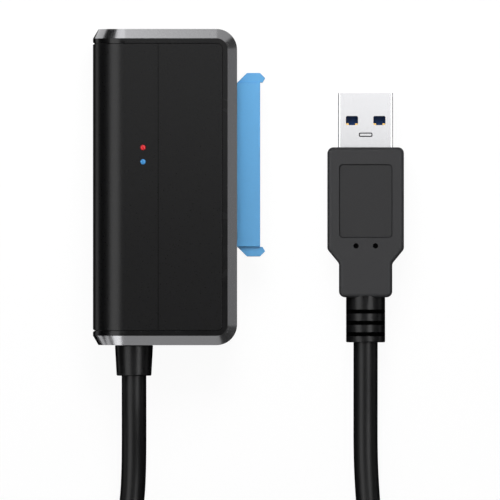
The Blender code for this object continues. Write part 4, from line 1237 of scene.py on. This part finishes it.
def build_softbox(name, compass, down, width, height, brightness, distance=None, middle=(0, 0, 0)):
    """A soft area light that faces the object, as wide and high in degrees as it looks from there."""
    distance = distance or bpy.context.scene.adapter_stage.light_distance
    lamp = bpy.data.lights.new(name, "AREA")
    lamp.shape = "RECTANGLE"
    lamp.size = 2 * distance * math.tan(math.radians(width / 2))
    lamp.size_y = 2 * distance * math.tan(math.radians(height / 2))
    lamp.energy = brightness * math.pi * lamp.size * lamp.size_y
    item = add_object(name, lamp)
    direction = toward(compass, down)
    item.location = Vector(middle) + direction * distance
    item.rotation_euler = direction.to_track_quat("Z", "Y").to_euler()
    item.visible_camera = False
    return item


def build_flag(name, start, end, reach):
    """A black card that reaches from the line between two points, in millimetres, which only gloss sees."""
    start, end, reach = (Vector(place) * MM for place in (start, end, reach))
    bm = bmesh.new()
    bm.faces.new([bm.verts.new(corner) for corner in (start, end, end + reach, start + reach)])
    card = add_materials(mesh_object(name, bm), [new_material("Black Flock", (0, 0, 0), 1.0, specular=0)])
    card.visible_camera = False
    card.visible_diffuse = False
    card.visible_shadow = False


class ADAPTER_OT_stage(Operator):
    """Set up the camera, the pale floor, the softboxes and the even light"""
    bl_idname = "adapter.stage"
    bl_label = "Stage"

    def execute(self, context):
        sizes = context.scene.adapter_stage
        scene = context.scene
        scene.view_settings.view_transform = "Standard"
        lens = bpy.data.cameras.new("square_on")
        lens.lens = sizes.lens
        lens.sensor_width = 36
        distance = sizes.view_width * lens.lens / lens.sensor_width
        camera = add_object("square_on", lens)
        camera.location = (sizes.view_x, sizes.view_y, MID_Z + distance)
        lens.clip_end = 4 * distance
        scene.camera = camera

        bm = bmesh.new()
        bmesh.ops.create_grid(bm, x_segments=1, y_segments=1, size=4.0)
        floor = add_materials(mesh_object("floor", bm), [background_material()])
        build_world(sizes.fill)
        key = build_softbox("key", compass=10, down=38, width=32, height=32, brightness=7.5, distance=0.16)
        key.visible_glossy = False
        gloss_boxes = (
            build_softbox("spine_strip", compass=-90, down=40, width=90, height=34, brightness=4.7),
            build_softbox("right_strip", compass=90, down=30, width=46, height=24, brightness=6.6),
            build_softbox("north_box", compass=22, down=60, width=46, height=24, brightness=0.6),
            build_softbox("north_left_box", compass=-16, down=60, width=25, height=24, brightness=1.75),
            build_softbox("east_box", compass=90, down=61, width=14, height=24, brightness=0.27),
            build_softbox("south_box", compass=178, down=60, width=24, height=24, brightness=0.5),
            build_softbox("south_left_box", compass=-147, down=62, width=34, height=28, brightness=2.1),
            build_softbox("top_box", compass=0, down=0, width=42, height=42, brightness=1.15, distance=0.25,
                          middle=(0.01, 0.10, 0)))
        for item in gloss_boxes:
            item.visible_diffuse = False

        # Two cards stand round the left corner of the far end, and two lie just above the floor
        standing = (0, 0, 22)
        build_flag("left_flag", start=(-46, -60, 0), end=(-46, 45, 0), reach=standing)
        build_flag("corner_flag", start=(-75, 45, 0), end=(-30, 90, 0), reach=standing)
        build_flag("floor_flag", start=(-30, -150, 0.1), end=(28, -150, 0.1), reach=(0, 186, 0))
        build_flag("plug_flag", start=(28, -150, 0.1), end=(80, -150, 0.1), reach=(0, 154, 0))
        return {"FINISHED"}


class ADAPTER_PT_panel(Panel):
    """Lists the pieces and their sizes in the sidebar"""
    bl_idname = "ADAPTER_PT_panel"
    bl_label = "Drive Adapter"
    bl_space_type = "VIEW_3D"
    bl_region_type = "UI"
    bl_category = "Adapter"

    def draw(self, context):
        for group in PROPERTY_GROUPS:
            box_layout = self.layout.box()
            settings = getattr(context.scene, group)
            for name in settings.__annotations__:
                box_layout.prop(settings, name)
        for operator in OPERATORS:
            self.layout.operator(operator.bl_idname)


OPERATORS = (
    ADAPTER_OT_stage,
    ADAPTER_OT_gland,
    ADAPTER_OT_plug_grip,
    ADAPTER_OT_plug_shell,
    ADAPTER_OT_strap,
    ADAPTER_OT_cable,
    ADAPTER_OT_trim_frame,
    ADAPTER_OT_covers,
    ADAPTER_OT_light_pipes,
    ADAPTER_OT_drive_connector,
    ADAPTER_OT_board,
)


def register():
    for one in (*PROPERTY_GROUPS.values(), *OPERATORS, ADAPTER_PT_panel):
        bpy.utils.register_class(one)
    for name, group in PROPERTY_GROUPS.items():
        setattr(bpy.types.Scene, name, bpy.props.PointerProperty(type=group))


def unregister():
    for name in PROPERTY_GROUPS:
        delattr(bpy.types.Scene, name)
    for one in reversed((*PROPERTY_GROUPS.values(), *OPERATORS, ADAPTER_PT_panel)):
        bpy.utils.unregister_class(one)


def main():
    register()
    bpy.ops.adapter.stage()
    bpy.ops.adapter.gland()
    bpy.ops.adapter.plug_grip()
    bpy.ops.adapter.plug_shell()
    bpy.ops.adapter.strap()
    bpy.ops.adapter.cable()
    bpy.ops.adapter.trim_frame()
    bpy.ops.adapter.covers()
    bpy.ops.adapter.light_pipes()
    bpy.ops.adapter.drive_connector()
    bpy.ops.adapter.board()


if __name__ == "__main__":
    main()
